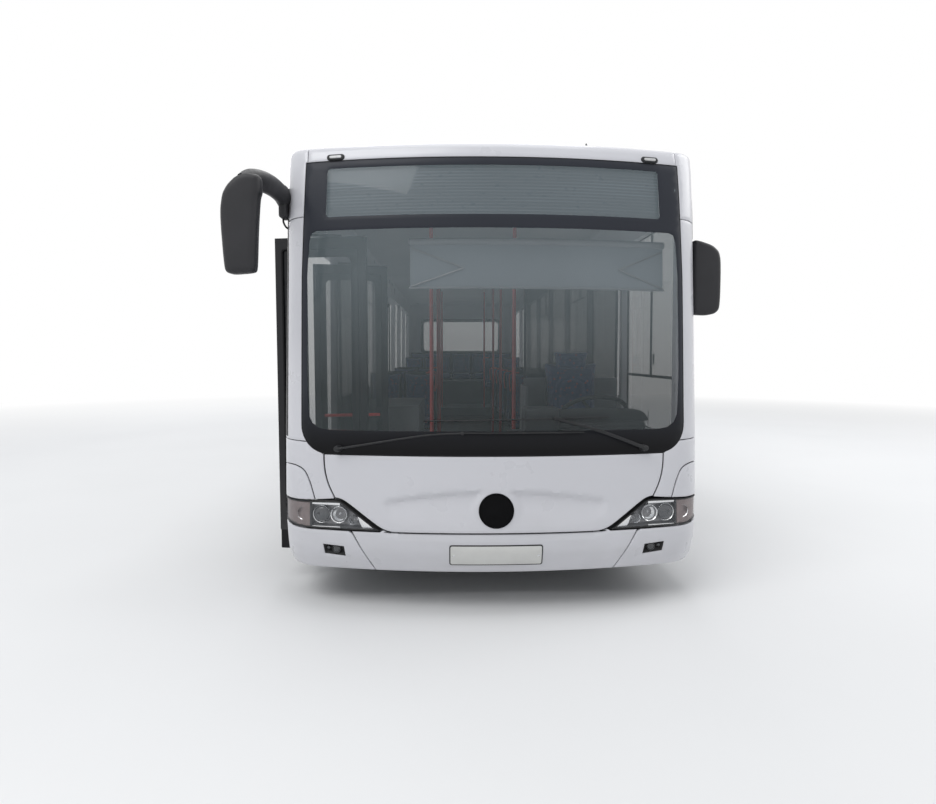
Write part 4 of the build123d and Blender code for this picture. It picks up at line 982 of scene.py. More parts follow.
def top_panel():
    right = front.along_x([(0.0, 2.6265), (0.55, 2.6265), (1.0995, 2.6265)])
    right += front.along_x([(1.0995, 2.63 + (TOP_SEAM_Z - 2.63) * k / 8) for k in range(1, 9)])
    low = TOP_SEAM_Z + 0.008
    right += [front.at_s(CAP_S, low + (TOP_Z - low) * k / 12) for k in range(13)]
    add("top_panel", sheet_form(front, closed_half(right), step=0.03), WHITE, node="front_top")


def front_sides():
    fog = front.along_x(FOG)
    pieces = (
        ("wing_inner", wing_inner(), "front_wings", 0.03, []),
        ("wing_outer", wing_outer(), "front_wings", 0.03, []),
        ("bumper_corner", bumper_corner(), "bumper_front", 0.026, [fog]),
        ("pillar_low", pillar_low(), "front_corners", 0.03, []),
        ("pillar_high", pillar_high(), "front_corners", 0.03, []),
    )
    for tag, side in SIDES:
        for name, loop, node, step, holes in pieces:
            loop = on_side(side, loop)
            holes = [on_side(side, hole) for hole in holes]
            add(f"{name}_{tag}", sheet_form(front, loop, step=step, holes=holes), WHITE, node=node)


def corner_strips():
    """Black filler panels on the outer side of the corners, ahead of the doorway and of the cab window."""
    kerb = [(-t, v) for t, v in front.along_x([(1.236, 1.000), (1.236, 1.5), (1.236, 2.1), (1.240, 2.42)])]
    kerb += [front.at_s(s, z, -1) for s, z in ((0.575, 2.575), (CAP_S, 2.580), (CAP_S, 1.000))]
    road = front.along_x([(1.246, 2.205), (1.244, 2.32), (1.252, 2.45)])
    road += [front.at_s(s, z) for s, z in ((0.585, 2.620), (CAP_S, 2.625), (CAP_S, 2.205))]
    add("corner_strip_kerb", sheet_form(front, kerb, step=0.03, edge=0.002, thick=0.004, off=0.0015), DOOR)
    add("corner_strip_road", sheet_form(front, road, step=0.03, edge=0.002, thick=0.004, off=0.0015),
        PLASTIC)


def gap_shade_strips():
    """Black strips behind the gaps between the front panels: painted shade that keeps the gaps dark."""
    line = front.along_x([(x + 0.004, z) for x, z in FLAP_EDGE])
    strips = [line, front.along_x([(x, z) for x,
                                   z in ARC_SEAM]) + [front.at_s(s, 0.826) for s in (0.36, CAP_S - 0.01)]]
    strips.append(front.along_x([(0.705, 0.255), (0.715, 0.275), (0.828, 0.470)]))
    strips.append(front.along_x([(0.60, 0.477), (0.9, 0.479),
                                 (1.2, 0.479)]) + [front.at_s(s, 0.481) for s in (0.36, 0.59)])
    strips.append(front.along_x([(1.11, 2.3), (1.2, 2.3)]) + [front.at_s(s, 2.3) for s in (0.45, 0.59)])
    strips.append(front.along_x([(1.06, 0.985), (1.2, 0.985)]) + [front.at_s(s, 0.985) for s in (0.40,
                                                                                                 0.59)])
    strips.append(front.along_x([(1.1015, 2.63 + (TOP_SEAM_Z - 0.010 - 2.63) * k / 8) for k in range(9)]))
    forms = []
    for side in (1, -1):
        for strip in strips:
            path = [front.point(side * t, v, -0.0125) for t, v in strip]
            forms.append(tube(path, (0.011, 0.0035), 6))
    path = [front.point(front.at_x(x, 0.477)[0], front.at_x(x, 0.477)[1],
                        -0.013) for x in np.linspace(-0.56, 0.56, 17)]
    forms.append(tube(path, (0.011, 0.0035), 6))
    # These black strips stand in for the shade inside the panel gaps.
    add("seam_gap_shade", forms, RUBBER)


# Windscreen, its black printed border and its seal

def windscreen():
    outline = closed_half(front.along_x(screen_edge(-0.001)))
    add("windscreen_glass", sheet_form(front, outline, step=0.05, edge=0.002, thick=0.006, off=-0.004),
        GLASS_FRONT,
        node="windscreen")
    window = front.along_x([(0.0, 2.290), (0.4, 2.290), (0.8, 2.290), (0.972, 2.290), (0.985, 2.303),
                            (0.978, 2.565),
                            (0.966, 2.578), (0.8, 2.578), (0.4, 2.578), (0.0, 2.578)])
    clear = [(0.0, 1.055), (0.6, 1.055), (0.96, 1.055), (1.02, 1.065), (1.062, 1.093), (1.083, 1.135),
             (1.090, 1.2)]
    clear += [(1.098, 1.4), (1.098, 1.95), (1.086, 2.16), (1.070, 2.198), (1.04, 2.210), (0.5, 2.212),
              (0.0, 2.212)]
    holes = [closed_half(window), closed_half(front.along_x(clear))]
    border = sheet_form(front, outline, step=0.04, edge=0.0005, thick=0.001, off=-0.0030, holes=holes)
    add("windscreen_border", border, FRIT)
    screen = closed_half(front.along_x([(0.0, 2.272), (0.5, 2.272), (0.99, 2.272), (0.99, 2.592),
                                        (0.5, 2.592),
                                        (0.0, 2.592)]))
    add("display_screen", sheet_form(front, screen, step=0.05, edge=0.001, thick=0.004, off=-0.022),
        DISPLAY)
    right = front.along_x(screen_edge(0.0015))
    loop = right + mirrored(right)[1:-1]
    path = [front.point(t, v, -0.006) for t, v in dense(loop, 0.03)]
    add("windscreen_seal", tube(path, (0.004, 0.005), 6, closed=True), RUBBER)


# Lamps of the front

def lamp_outline():
    loop = front.along_x(LAMP_FRONT)
    loop += [front.at_s(s, z) for s,
             z in ((0.33, 0.4925), (0.428, 0.4925), (0.428, 0.6235), (0.33, 0.6245))]
    return loop + front.along_x(LAMP_TOP)


def round_unit(x, z, radius, depth, forms, kind):
    """One lamp unit set in the headlamp: a projector with a dark lens, or an open reflector with a bulb."""
    t, v = front.at_x(x, z)
    side = 1 if x > 0 else -1
    axis = Vector((side * 0.12, -1, 0.02)).normalized()
    origin = Vector(front.point(t, v, -depth))
    ring = [(-0.012, radius * 0.8), (-0.004, radius), (0.010, radius), (0.013, radius * 0.96),
            (0.009, radius * 0.88)]
    if kind == "projector":
        forms["chrome"].append(lathe(ring + [(0.002, radius * 0.84)], origin, axis, 40))
        dome = [(0.002 + 0.016 * math.cos(math.radians(a)), radius * 0.84 * math.sin(math.radians(a)))
                for a in (90, 75, 60, 45, 30, 15, 0.1)]
        forms["lens"].append(lathe(dome, origin, axis, 40))
        return
    bowl = [(0.006 - 0.045 * (1 - (r / radius) ** 2), r) for r in np.linspace(radius * 0.88, radius * 0.16,
                                                                              7)]
    forms["chrome"].append(lathe(ring + bowl, origin, axis, 40))
    bulb = [(-0.045, radius * 0.16), (-0.022, radius * 0.16), (-0.014, radius * 0.13),
            (-0.010, radius * 0.05), (-0.009, 0)]
    forms["bulb"].append(lathe(bulb, origin, axis, 20))


def headlamps():
    outline = lamp_outline()
    inner = moved_in(dense(outline, 0.03), 0.007)
    for tag, side in SIDES:
        loop = on_side(side, outline)
        core = on_side(side, inner)
        forms = {"chrome": [], "lens": [], "bulb": []}
        round_unit(side * 1.012, 0.566, 0.052, 0.020, forms, "projector")
        round_unit(side * 0.908, 0.567, 0.050, 0.020, forms, "bowl")
        round_unit(side * 0.822, 0.540, 0.028, 0.018, forms, "bowl")
        round_unit(side * 1.130, 0.562, 0.040, 0.020, forms, "bowl")
        add(f"lamp_rim_{tag}", sheet_form(front, loop, step=0.03, edge=0.003, thick=0.05, off=-0.001,
                                          holes=[core]),
            PLASTIC, node="headlamps")
        add(f"lamp_glass_{tag}", sheet_form(front, core, step=0.03, edge=0.003, thick=0.004, off=-0.0015),
            LENS)
        bucket = sheet_form(front, core, step=0.014, edge=0.001, thick=0.002, off=-0.010,
                            bowl=(0.032, 0.014))
        add(f"lamp_bucket_{tag}", bucket, LAMP_GREY)
        strips = []
        for z0, z1 in ((0.489, 0.498), (0.620, 0.634)):
            band = front.along_x([(0.90, z0), (1.070, z0), (1.070, z1 - 0.002), (0.90, z1)])
            strips.append(sheet_form(front, on_side(side, band), step=0.03, edge=0.002, thick=0.02,
                                     off=-0.010))
        tip = front.along_x([(0.705, 0.494), (0.77, 0.494), (0.80, 0.56), (0.78, 0.553), (0.74, 0.525)])
        strips.append(sheet_form(front, on_side(side, tip), step=0.02, edge=0.003, thick=0.02, off=-0.014))
        add(f"lamp_chrome_{tag}", forms["chrome"] + strips, CHROME)
        add(f"lamp_lenses_{tag}", forms["lens"], LENS_DARK)
        add(f"lamp_bulbs_{tag}", forms["bulb"][:-1], GLASS_BULB)
        add(f"lamp_flasher_bulb_{tag}", forms["bulb"][-1:], AMBER)
        wall = front.along_x([(1.072, 0.487), (1.079, 0.487), (1.079, 0.638), (1.072, 0.638)])
        add(f"lamp_divider_{tag}",
            sheet_form(front, on_side(side, wall), step=0.03, edge=0.001, thick=0.04, off=-0.006),
            PLASTIC)
        flasher = front.along_x([(1.084, 0.490), (1.17, 0.491), (1.214, 0.497)])
        flasher += [front.at_s(s, z) for s,
                    z in ((0.33, 0.499), (0.42, 0.500), (0.42, 0.617), (0.33, 0.618))]
        flasher += front.along_x([(1.25, 0.622), (1.15, 0.628), (1.084, 0.630)])
        ribs = sheet_form(front, on_side(side, flasher), step=0.008, edge=0.001, thick=0.002, off=-0.008,
                          relief=lambda t, v: 0.0012 * math.sin(t * 700))
        add(f"lamp_flasher_{tag}", ribs, FLASHER)


def fog_lamps():
    for tag, side in SIDES:
        loop = on_side(side, front.along_x(FOG))
        tray = sheet_form(front, loop, step=0.01, edge=0.001, thick=0.003, off=-0.004, bowl=(0.030, 0.012))
        add(f"fog_recess_{tag}", tray, PLASTIC)
        t, v = front.at_x(side * 0.926, 0.356)
        origin = Vector(front.point(t, v, -0.022))
        axis = Vector((side * 0.10, -1, 0)).normalized()
        ring = [(-0.01, 0.024), (0.006, 0.025), (0.009, 0.0235), (0.006, 0.0215)]
        bowl = [(0.004 - 0.016 * (1 - (r / 0.0215) ** 2), r) for r in (0.0205, 0.016, 0.011, 0.006, 0.0)]
        add(f"fog_reflector_{tag}", lathe(ring + bowl, origin, axis, 32), LAMP_GREY)
        dome = [(0.004, 0.0215), (0.008, 0.017), (0.010, 0.010), (0.0105, 0)]
        add(f"fog_lens_{tag}", lathe(dome, origin, axis, 32), LENS_DARK)
        t, v = front.at_x(side * 0.975, 0.362)
        origin = Vector(front.point(t, v, -0.024))
        add(f"fog_marker_{tag}",
            lathe([(-0.006, 0.011), (0.006, 0.011), (0.009, 0.008), (0.010, 0)], origin, axis, 20),
            LENS_DARK)


def stadium(x, z, half, radius):
    left = [(x - half + radius * math.cos(a),
             z + radius * math.sin(a)) for a in np.radians(range(90, 271, 20))]
    right = [(x + half + radius * math.cos(a),
              z + radius * math.sin(a)) for a in np.radians(range(-90, 91, 20))]
    return left + right


def marker_lamps():
    for tag, side in SIDES:
        foot = on_side(side, front.along_x(stadium(0.9285, 2.644, 0.036, 0.018)))
        pod = sheet_form(front, foot, step=0.012, edge=0.006, thick=0.010, off=0.008)
        add(f"marker_pod_{tag}", pod, PLASTIC)
        lens = on_side(side, front.along_x(stadium(0.9285, 2.644, 0.028, 0.0085)))
        add(f"marker_lens_{tag}", sheet_form(front, lens, step=0.008, edge=0.003, thick=0.004, off=0.0105),
            LENS_PALE)


def front_plate():
    """Blank number plate in its holder on the bumper, with two screws."""
    half = 0.26
    loop = round_rect((-half, half), (front.v_at(PLATE_Z - 0.055), front.v_at(PLATE_Z + 0.055)), 0.010)
    rim = round_rect((-half - 0.007, half + 0.007),
                     (front.v_at(PLATE_Z - 0.062), front.v_at(PLATE_Z + 0.062)), 0.014)
    add("plate_holder_front", sheet_form(front, rim, step=0.04, edge=0.003, thick=0.006, off=0.004),
        PLASTIC)
    add("plate_front", sheet_form(front, loop, step=0.04, edge=0.001, thick=0.002, off=0.0055), PLATE)
    screws = []
    for x in (-0.24, 0.24):
        t, v = front.at_x(x, PLATE_Z)
        screws.append(lathe([(0.005, 0.006), (0.0075, 0.006), (0.0085, 0.004), (0.0085, 0)],
                            front.point(t, v),
                            cap_normal(front, t, v), 16))
    add("plate_screws_front", screws, CHROME)


# Wipers

WIPERS = (
    # pivot x and z, elbow x and z, tip x and z, blade from and to x, blade tilt
    ("kerb", (-0.900, 0.950), (-0.42, 1.030), (-0.190, 1.046), (-0.190, 0.500), 0.000),
    ("road", (0.858, 0.949), (0.591, 1.050), (0.330, 1.126), (-0.410, 0.645), 0.014),
)


def wipers():
    for tag, pivot, elbow, tip, span, tilt in WIPERS:
        t, v = front.at_x(*pivot)
        axis = cap_normal(front, t, v)
        cap = [(-0.004, 0.020), (0.020, 0.020), (0.034, 0.017), (0.044, 0.016), (0.048, 0.012), (0.049, 0)]
        forms = [lathe(cap, front.point(t, v), axis, 28)]
        path = [(*pivot, 0.036), (pivot[0] * 0.9 + elbow[0] * 0.1, pivot[1] * 0.9 + elbow[1] * 0.1, 0.040)]
        path += [(*elbow, 0.040), (*tip, 0.034)]
        line = []
        for x, z, off in smooth(path, 6):
            t, v = front.at_x(x, z)
            line.append(front.point(t, v, off))
        count = len(line)
        radii = [(0.0125 - 0.006 * i / count, 0.007 - 0.002 * i / count) for i in range(count)]
        forms.append(tube(line, radii, 8))
        middle = (span[0] + span[1]) / 2
        spine = []
        lip = []
        for x in np.linspace(span[0], span[1], 25):
            z = tip[1] + tilt * (x - tip[0]) / 0.8
            t, v = front.at_x(float(x), z)
            rise = 0.007 * (1 - ((x - middle) / (span[1] - span[0]) * 2) ** 2)
            spine.append(front.point(t, v, 0.014 + rise))
            lip.append(front.point(t, v, 0.006))
        forms.append(tube(spine, (0.007, 0.0045), 6))
        for share in (0.18, 0.5, 0.82):
            index = int(share * 24)
            forms.append(tube([spine[index], lip[index]], (0.010, 0.006), 6))
        joint_t, joint_v = front.at_x(*tip)
        forms.append(lathe([(0.010, 0.011), (0.040, 0.011), (0.043, 0.007), (0.043, 0)],
                           front.point(joint_t, joint_v), cap_normal(front, joint_t, joint_v), 16))
        add(f"wiper_{tag}", forms, PLASTIC, node="wipers")
        add(f"wiper_rubber_{tag}", tube(lip, (0.0055, 0.004), 6), RUBBER)


# Mirrors

KERB_HEAD = [
    # x, z round the housing in front view
    (-1.470, 2.235), (-1.455, 1.945), (-1.443, 1.922), (-1.407, 1.913), (-1.302, 1.922), (-1.288, 1.941),
    (-1.278, 2.150), (-1.265, 2.314), (-1.253, 2.345), (-1.255, 2.430), (-1.330, 2.442), (-1.385, 2.420),
    (-1.430, 2.376), (-1.456, 2.330),
]
ROAD_HEAD = [
    (1.468, 2.083), (1.470, 1.790), (1.443, 1.755), (1.392, 1.742), (1.300, 1.746), (1.287, 1.765),
    (1.285, 2.200),
    (1.300, 2.219), (1.341, 2.209), (1.412, 2.184), (1.455, 2.146),
]


def rounded(points, per=4, trim=0.35):
    """Closed outline with each corner cut back and replaced by a curve."""
    loop = []
    count = len(points)
    for i in range(count):
        before = np.array(points[i - 1])
        here = np.array(points[i])
        after = np.array(points[(i + 1) % count])
        a = here + (before - here) * trim
        b = here + (after - here) * trim
        for k in range(per + 1):
            u = k / per
            loop.append(tuple(a * (1 - u) ** 2 + here * 2 * u * (1 - u) + b * u * u))
    return loop


def mirror_housing(name, outline, y_front, depth, edge, crown):
    """Moulded housing: rounded front, shallow collar behind and a mirror glass facing the driver."""
    loop = rounded(outline)
    xs = [p[0] for p in loop]
    zs = [p[1] for p in loop]
    centre = ((min(xs) + max(xs)) / 2, (min(zs) + max(zs)) / 2)
    size = (max(xs) - min(xs), max(zs) - min(zs))
    plane = Flat((0, y_front, 0), (1, 0, 0), (0, 0, 1))

    def bulge(x, z):
        away = ((x - centre[0]) / size[0] * 2) ** 2 + ((z - centre[1]) / size[1] * 2) ** 2
        return -crown * away

    shell = sheet_form(plane, loop, step=0.018, edge=edge, thick=depth, relief=bulge, closed=True)
    add(f"{name}_housing", shell, MIRROR_SHELL, node="mirrors", angle=60)
    back = Flat((0, y_front + depth, 0), (-1, 0, 0), (0, 0, 1))
    edge_line = [(-x, z) for x, z in loop][::-1]
    edge_line = edge_line if area(edge_line) > 0 else edge_line[::-1]
    pane = moved_in(dense(edge_line, 0.02), 0.020)
    add(f"{name}_glass", sheet_form(back, pane, step=0.03, edge=0.002, thick=0.004, off=0.002),
        MIRROR_GLASS)
    frame = sheet_form(back, moved_in(dense(edge_line, 0.02), 0.013), step=0.03, edge=0.001, thick=0.003,
                       off=0.0015,
                       holes=[pane])
    add(f"{name}_bezel", frame, RUBBER)


def mirrors():
    mirror_housing("mirror_kerb", KERB_HEAD, FRONT - 0.120, 0.100, 0.030, 0.008)
    mirror_housing("mirror_road", ROAD_HEAD, FRONT + 0.510, 0.100, 0.026, 0.006)
    path = [(-1.350, FRONT - 0.060, 2.385), (-1.338, FRONT + 0.01, 2.425), (-1.312, FRONT + 0.12, 2.452),
            (-1.290, FRONT + 0.26, 2.462), (-1.272, FRONT + 0.38, 2.450), (-1.262, FRONT + 0.44, 2.425)]
    line = smooth(path, 6)
    count = len(line)
    radii = [(0.040 + 0.006 * i / count, 0.060) for i in range(count)]
    foot = box((-1.290, -1.238), (FRONT + 0.388, FRONT + 0.498), (2.312, 2.505), 0.016)
    cable = smooth([(-1.262, FRONT + 0.44, 2.335), (-1.27, FRONT + 0.43, 2.30),
                    (-1.262, FRONT + 0.45, 2.27),
                    (-1.243, FRONT + 0.47, 2.255)], 6)
    add("mirror_kerb_arm", [tube(line, radii, 16), foot], MIRROR_SHELL, angle=60)
    add("mirror_kerb_cable", tube(cable, 0.006, 8), RUBBER)
    path = [(1.222, FRONT + 0.555, 2.128), (1.262, FRONT + 0.560, 2.128), (1.31, FRONT + 0.565, 2.112),
            (1.35, FRONT + 0.565, 2.10)]
    foot = box((1.238, 1.262), (FRONT + 0.50, FRONT + 0.62), (2.075, 2.185), 0.010)
    add("mirror_road_arm", [tube(smooth(path, 5), (0.024, 0.034), 14), foot], MIRROR_SHELL, angle=60)


def antenna():
    t, v = front.at_x(0.60, 2.795)
    base = front.point(t, v, -0.004)
    profile = [(0, 0.020), (0.006, 0.020), (0.009, 0.010), (0.018, 0.005), (0.024, 0.0035), (0.026, 0)]
    add("antenna", lathe(profile, base, (0, 0, 1), 20), PLASTIC)


front_flap()
front_sides()
bumper_middle()
top_panel()
corner_strips()
gap_shade_strips()
windscreen()
headlamps()
fog_lamps()
marker_lamps()
front_plate()
wipers()
mirrors()
antenna()


# Side walls: window bands, glazing seals, arches, skirts and lamps. Points are S and z.

WHEEL_S = (2.705, 8.550)
WHEEL_Z = 0.478
ARCH_R = 0.545
WINDOW_Z = (1.120, 2.460)
KERB_WINDOWS = ((1.960, 3.395), (3.465, 4.900), (6.420, 7.595), (7.665, 8.840), (8.910, 10.085),
                (10.155, 11.330))
ROAD_WINDOWS = tuple((2.010 + 1.34143 * i, 3.28143 + 1.34143 * i) for i in range(7))
CAB_WINDOW = ((0.680, 1.930), (0.930, 2.400))


def window_loops(tag):
    windows = KERB_WINDOWS if tag == "kerb" else ROAD_WINDOWS
    loops = [round_rect(s, WINDOW_Z, 0.070, 5) for s in windows]
    if tag == "road":
        loops.append(round_rect(*CAB_WINDOW, 0.070, 5))
    return loops


def side_bands():
    """Black printed band that runs through the windows and over the doorways."""
    low, high = WINDOW_Z[0] - 0.050, WINDOW_Z[1] + 0.045
    kerb = (
        ("band_kerb_front", [(1.930, low), (4.990, low), (4.990, high), (1.930, high)]),
        ("band_kerb_rear", [(6.330, low), (11.440, low), (11.440, high), (6.330, high)]),
        ("band_front_door", [(0.606, 2.270), (1.924, 2.270), (1.924, high), (0.606, high)]),
        ("band_mid_door", [(4.996, 2.270), (6.324, 2.270), (6.324, high), (4.996, high)]),
    )
    loops = window_loops("kerb")
    for name, loop in kerb:
        span = (loop[0][0], loop[1][0])
        holes = [w for w in loops if span[0] < w[0][0] < span[1]] if "door" not in name else []
        add(name, sheet_form(walls["kerb"], loop, step=0.07, edge=0.002, thick=0.003, off=0.0015,
                             holes=holes), FRIT_SIDE)
    loop = [(0.606, 0.880), (1.990, 0.880), (1.990, low), (11.440, low), (11.440, high), (0.606, high)]
    band = sheet_form(walls["road"], loop, step=0.07, edge=0.002, thick=0.003, off=0.0015,
                      holes=window_loops("road"))
    add("band_road", band, FRIT_SIDE)


def glazing():
    """Rubber seal round each pane, sliding vents with their catches, and the cab's sliding window."""
    for tag in walls:
        skin = walls[tag]
        seals = []
        rails = []
        for loop in window_loops(tag):
            path = [skin.point(s, z, 0.0005) for s, z in dense(loop, 0.12)]
            seals.append(tube(path, (0.0065, 0.0055), 6, closed=True))
        windows = (KERB_WINDOWS[1::2] if tag == "kerb" else ROAD_WINDOWS[1::2])
        for s0, s1 in windows:
            middle = (s0 + s1) / 2
            rails.append(tube([skin.point(s, 2.150, 0.001) for s in np.linspace(s0 + 0.01, s1 - 0.01, 5)],
                              (0.009, 0.010), 6))
            rails.append(tube([skin.point(middle, z, 0.001) for z in (2.160, 2.300, 2.450)], (0.009, 0.008),
                              6))
            for s in (middle - 0.05, middle + 0.05):
                rails.append(tube([skin.point(s, 2.170, 0.006), skin.point(s, 2.205, 0.006)], 0.006, 6))
        if tag == "road":
            rails.append(tube([skin.point(s, 1.330, 0.001) for s in np.linspace(0.69, 1.92, 5)],
                              (0.009, 0.012), 6))
            rails.append(tube([skin.point(1.305, z, 0.001) for z in (1.335, 1.85, 2.39)], (0.009, 0.012),
                              6))
            rails.append(tube([skin.point(1.27, z, 0.010) for z in (1.42, 1.50)], 0.007, 6))
        add(f"window_seals_{tag}", seals, RUBBER)
        add(f"window_rails_{tag}", rails, PLASTIC)


def arches():
    """Rubber lip round each wheel opening."""
    for tag in walls:
        forms = []
        for s0 in WHEEL_S:
            angles = np.radians(np.linspace(-18.6, 198.6, 41))
            path = [walls[tag].point(s0 + (ARCH_R + 0.008) * math.cos(a),
                                     WHEEL_Z + (ARCH_R + 0.008) * math.sin(a), 0.004)
                    for a in angles]
            forms.append(tube(path, (0.012, 0.009), 8))
        add(f"arch_lips_{tag}", forms, RUBBER)


def side_lines(tag):
    """Panel seams of a side as pairs of points."""
    lines = []
    spans = ((2.0, 2.12), (3.30, 4.96), (6.36, 7.96), (9.14, 11.46)) if tag == "kerb" else \
        ((0.62, 2.12), (3.30, 7.96), (9.14, 11.46))
    for s0, s1 in spans:
        lines.append(((s0, 0.640), (s1, 0.640)))
    cuts = (4.1, 7.2, 9.8, 10.7) if tag == "kerb" else (1.35, 3.9, 4.8, 5.7, 6.6, 7.5, 9.8, 10.7)
    for s in cuts:
        lines.append(((s, 0.305), (s, 1.060)))
    ends = (11.44,) if tag == "kerb" else (0.615, 11.44)
    for s in ends:
        lines.append(((s, 0.305), (s, 1.060)))
    return lines


def skirts():
    """Seams as black strips of painted groove shade, rub rail, side markers, service flaps and air grilles.
    """
    for tag in walls:
        skin = walls[tag]
        # Panel seams drawn as black strips: painted shade of the grooves.
        seams = []
        for (s0, z0), (s1, z1) in side_lines(tag):
            count = max(int(math.hypot(s1 - s0, z1 - z0) / 0.12), 2)
            path = [skin.point(s0 + (s1 - s0) * k / count, z0 + (z1 - z0) * k / count,
                               -0.001) for k in range(count + 1)]
            seams.append(tube(path, (0.0035, 0.0022), 6))
        rail_spans = ((2.02, 2.13), (3.29, 4.95), (6.37, 7.97), (9.13, 11.42)) if tag == "kerb" else \
            ((0.66, 2.13), (3.29, 7.97), (9.13, 11.42))
        rails = []
        lenses = []
        bases = []
        for s0, s1 in rail_spans:
            rails.append(sheet_form(skin, round_rect((s0, s1), (0.715, 0.755), 0.015, 4), step=0.05,
                                    edge=0.010, thick=0.014,
                                    off=0.010))
        for s in ((3.6, 7.3, 9.6, 11.2) if tag == "kerb" else (1.0, 3.6, 6.2, 7.6, 9.6, 11.2)):
            bases.append(sheet_form(skin, round_rect((s - 0.062, s + 0.062), (0.555, 0.605), 0.012, 4),
                                    step=0.02, edge=0.003,
                                    thick=0.006, off=0.004))
            lenses.append(sheet_form(skin, round_rect((s - 0.052, s + 0.052), (0.562, 0.598), 0.010, 4),
                                     step=0.014,
                                     edge=0.006, thick=0.008, off=0.011))
        add(f"side_seam_shade_{tag}", seams, RUBBER)
        add(f"rub_rails_{tag}", rails, PLASTIC)
        add(f"marker_bases_{tag}", bases, PLASTIC)
        add(f"marker_lenses_{tag}", lenses, AMBER)
        louvres(tag, skin, (9.90, 10.62) if tag == "kerb" else (10.78, 11.36), (0.400, 0.610))
        louvres(f"{tag}_high", skin, (10.78, 11.36), (0.800, 1.040))
    flap = round_rect((4.90, 5.16), (0.800, 1.020), 0.020, 4)
    add("fuel_flap", sheet_form(walls["road"], flap, step=0.03, edge=0.006, thick=0.010, off=0.005), WHITE)
    latch = round_rect((5.115, 5.145), (0.890, 0.930), 0.010, 4)
    add("fuel_latch", sheet_form(walls["road"], latch, step=0.01, edge=0.003, thick=0.004, off=0.008),
        PLASTIC)


def louvres(tag, skin, s, z):
    """Air intake: a sunk dark field, painted shade of the opening, with slats in a frame."""
    frame = round_rect(s, z, 0.018, 4)
    hole = round_rect((s[0] + 0.022, s[1] - 0.022), (z[0] + 0.022, z[1] - 0.022), 0.010, 4)
    add(f"louvre_frame_{tag}", sheet_form(skin, frame, step=0.03, edge=0.004, thick=0.008, off=0.006,
                                          holes=[hole]), PLASTIC)
    # Black sheet under the slats: painted shade of the intake's opening.
    add(f"louvre_shade_{tag}", sheet_form(skin, hole, step=0.05, edge=0.001, thick=0.001, off=0.0012), BLACK_AND_SHADE)
    slats = []
    height = z[1] - z[0] - 0.06
    count = max(int(height / 0.026), 3)
    for k in range(count):
        level = z[0] + 0.030 + height * k / (count - 1)
        slats.append(tube([skin.point(a, level, 0.005) for a in np.linspace(s[0] + 0.02, s[1] - 0.02, 4)],
                          (0.007, 0.0045), 6))
    add(f"louvre_slats_{tag}", slats, PLASTIC)


def rain_rails():
    for tag in walls:
        path = [walls[tag].point(s, 2.672, 0.004) for s in np.linspace(0.62, 11.48, 40)]
        add(f"rain_rail_{tag}", tube(path, (0.009, 0.006), 6), ROOF_WHITE)


side_bands()
glazing()
arches()
skirts()
rain_rails()
# Wheels: tyres with ribbed tread, pressed discs with hand holes as black caps of painted shade, nuts and hubs

FRONT_WHEEL_X = 1.0505
TWIN_X = 0.917
TWIN_SPACING = 0.309
NUT_CIRCLE = 0.1675


def tyre_profile():
    """Half section from bead to the middle of the tread: (distance out from the middle, radius)."""
    wall = [(0.098, 0.288), (0.110, 0.292), (0.122, 0.305), (0.130, 0.330), (0.1365, 0.365),
            (0.1375, 0.385),
            (0.1360, 0.387), (0.1355, 0.392), (0.1365, 0.394), (0.1350, 0.415), (0.1290, 0.438),
            (0.1225, 0.452),
            (0.1190, 0.460), (0.1130, 0.4675), (0.1050, 0.4715)]
    tread = []
    for outer, inner in ((0.1010, 0.0780), (0.0660, 0.0380), (0.0260, 0.0)):
        tread += [(outer, 0.4755), (inner, 0.4772)]
        if inner:
            tread += [(inner - 0.0015, 0.4630), (inner - 0.0105, 0.4630)]
    return wall + tread


def tyre(centre, out):
    half = tyre_profile()
    profile = half + [(-a, r) for a, r in half[::-1]][1:]
    form = lathe(profile, centre, (out, 0, 0), 96)
    lugs = []
    for k in range(48):
        angle = 2 * math.pi * k / 48
        spin = Matrix.Translation(centre) @ Matrix.Rotation(angle, 4, "X")
        for side in (1, -1):
            cut = box((side * 0.118 - 0.011, side * 0.118 + 0.011), (-0.0115, 0.0115), (0.452, 0.4725),
                      0.004, spin, 1)
            lugs.append(cut)
    return [form] + lugs


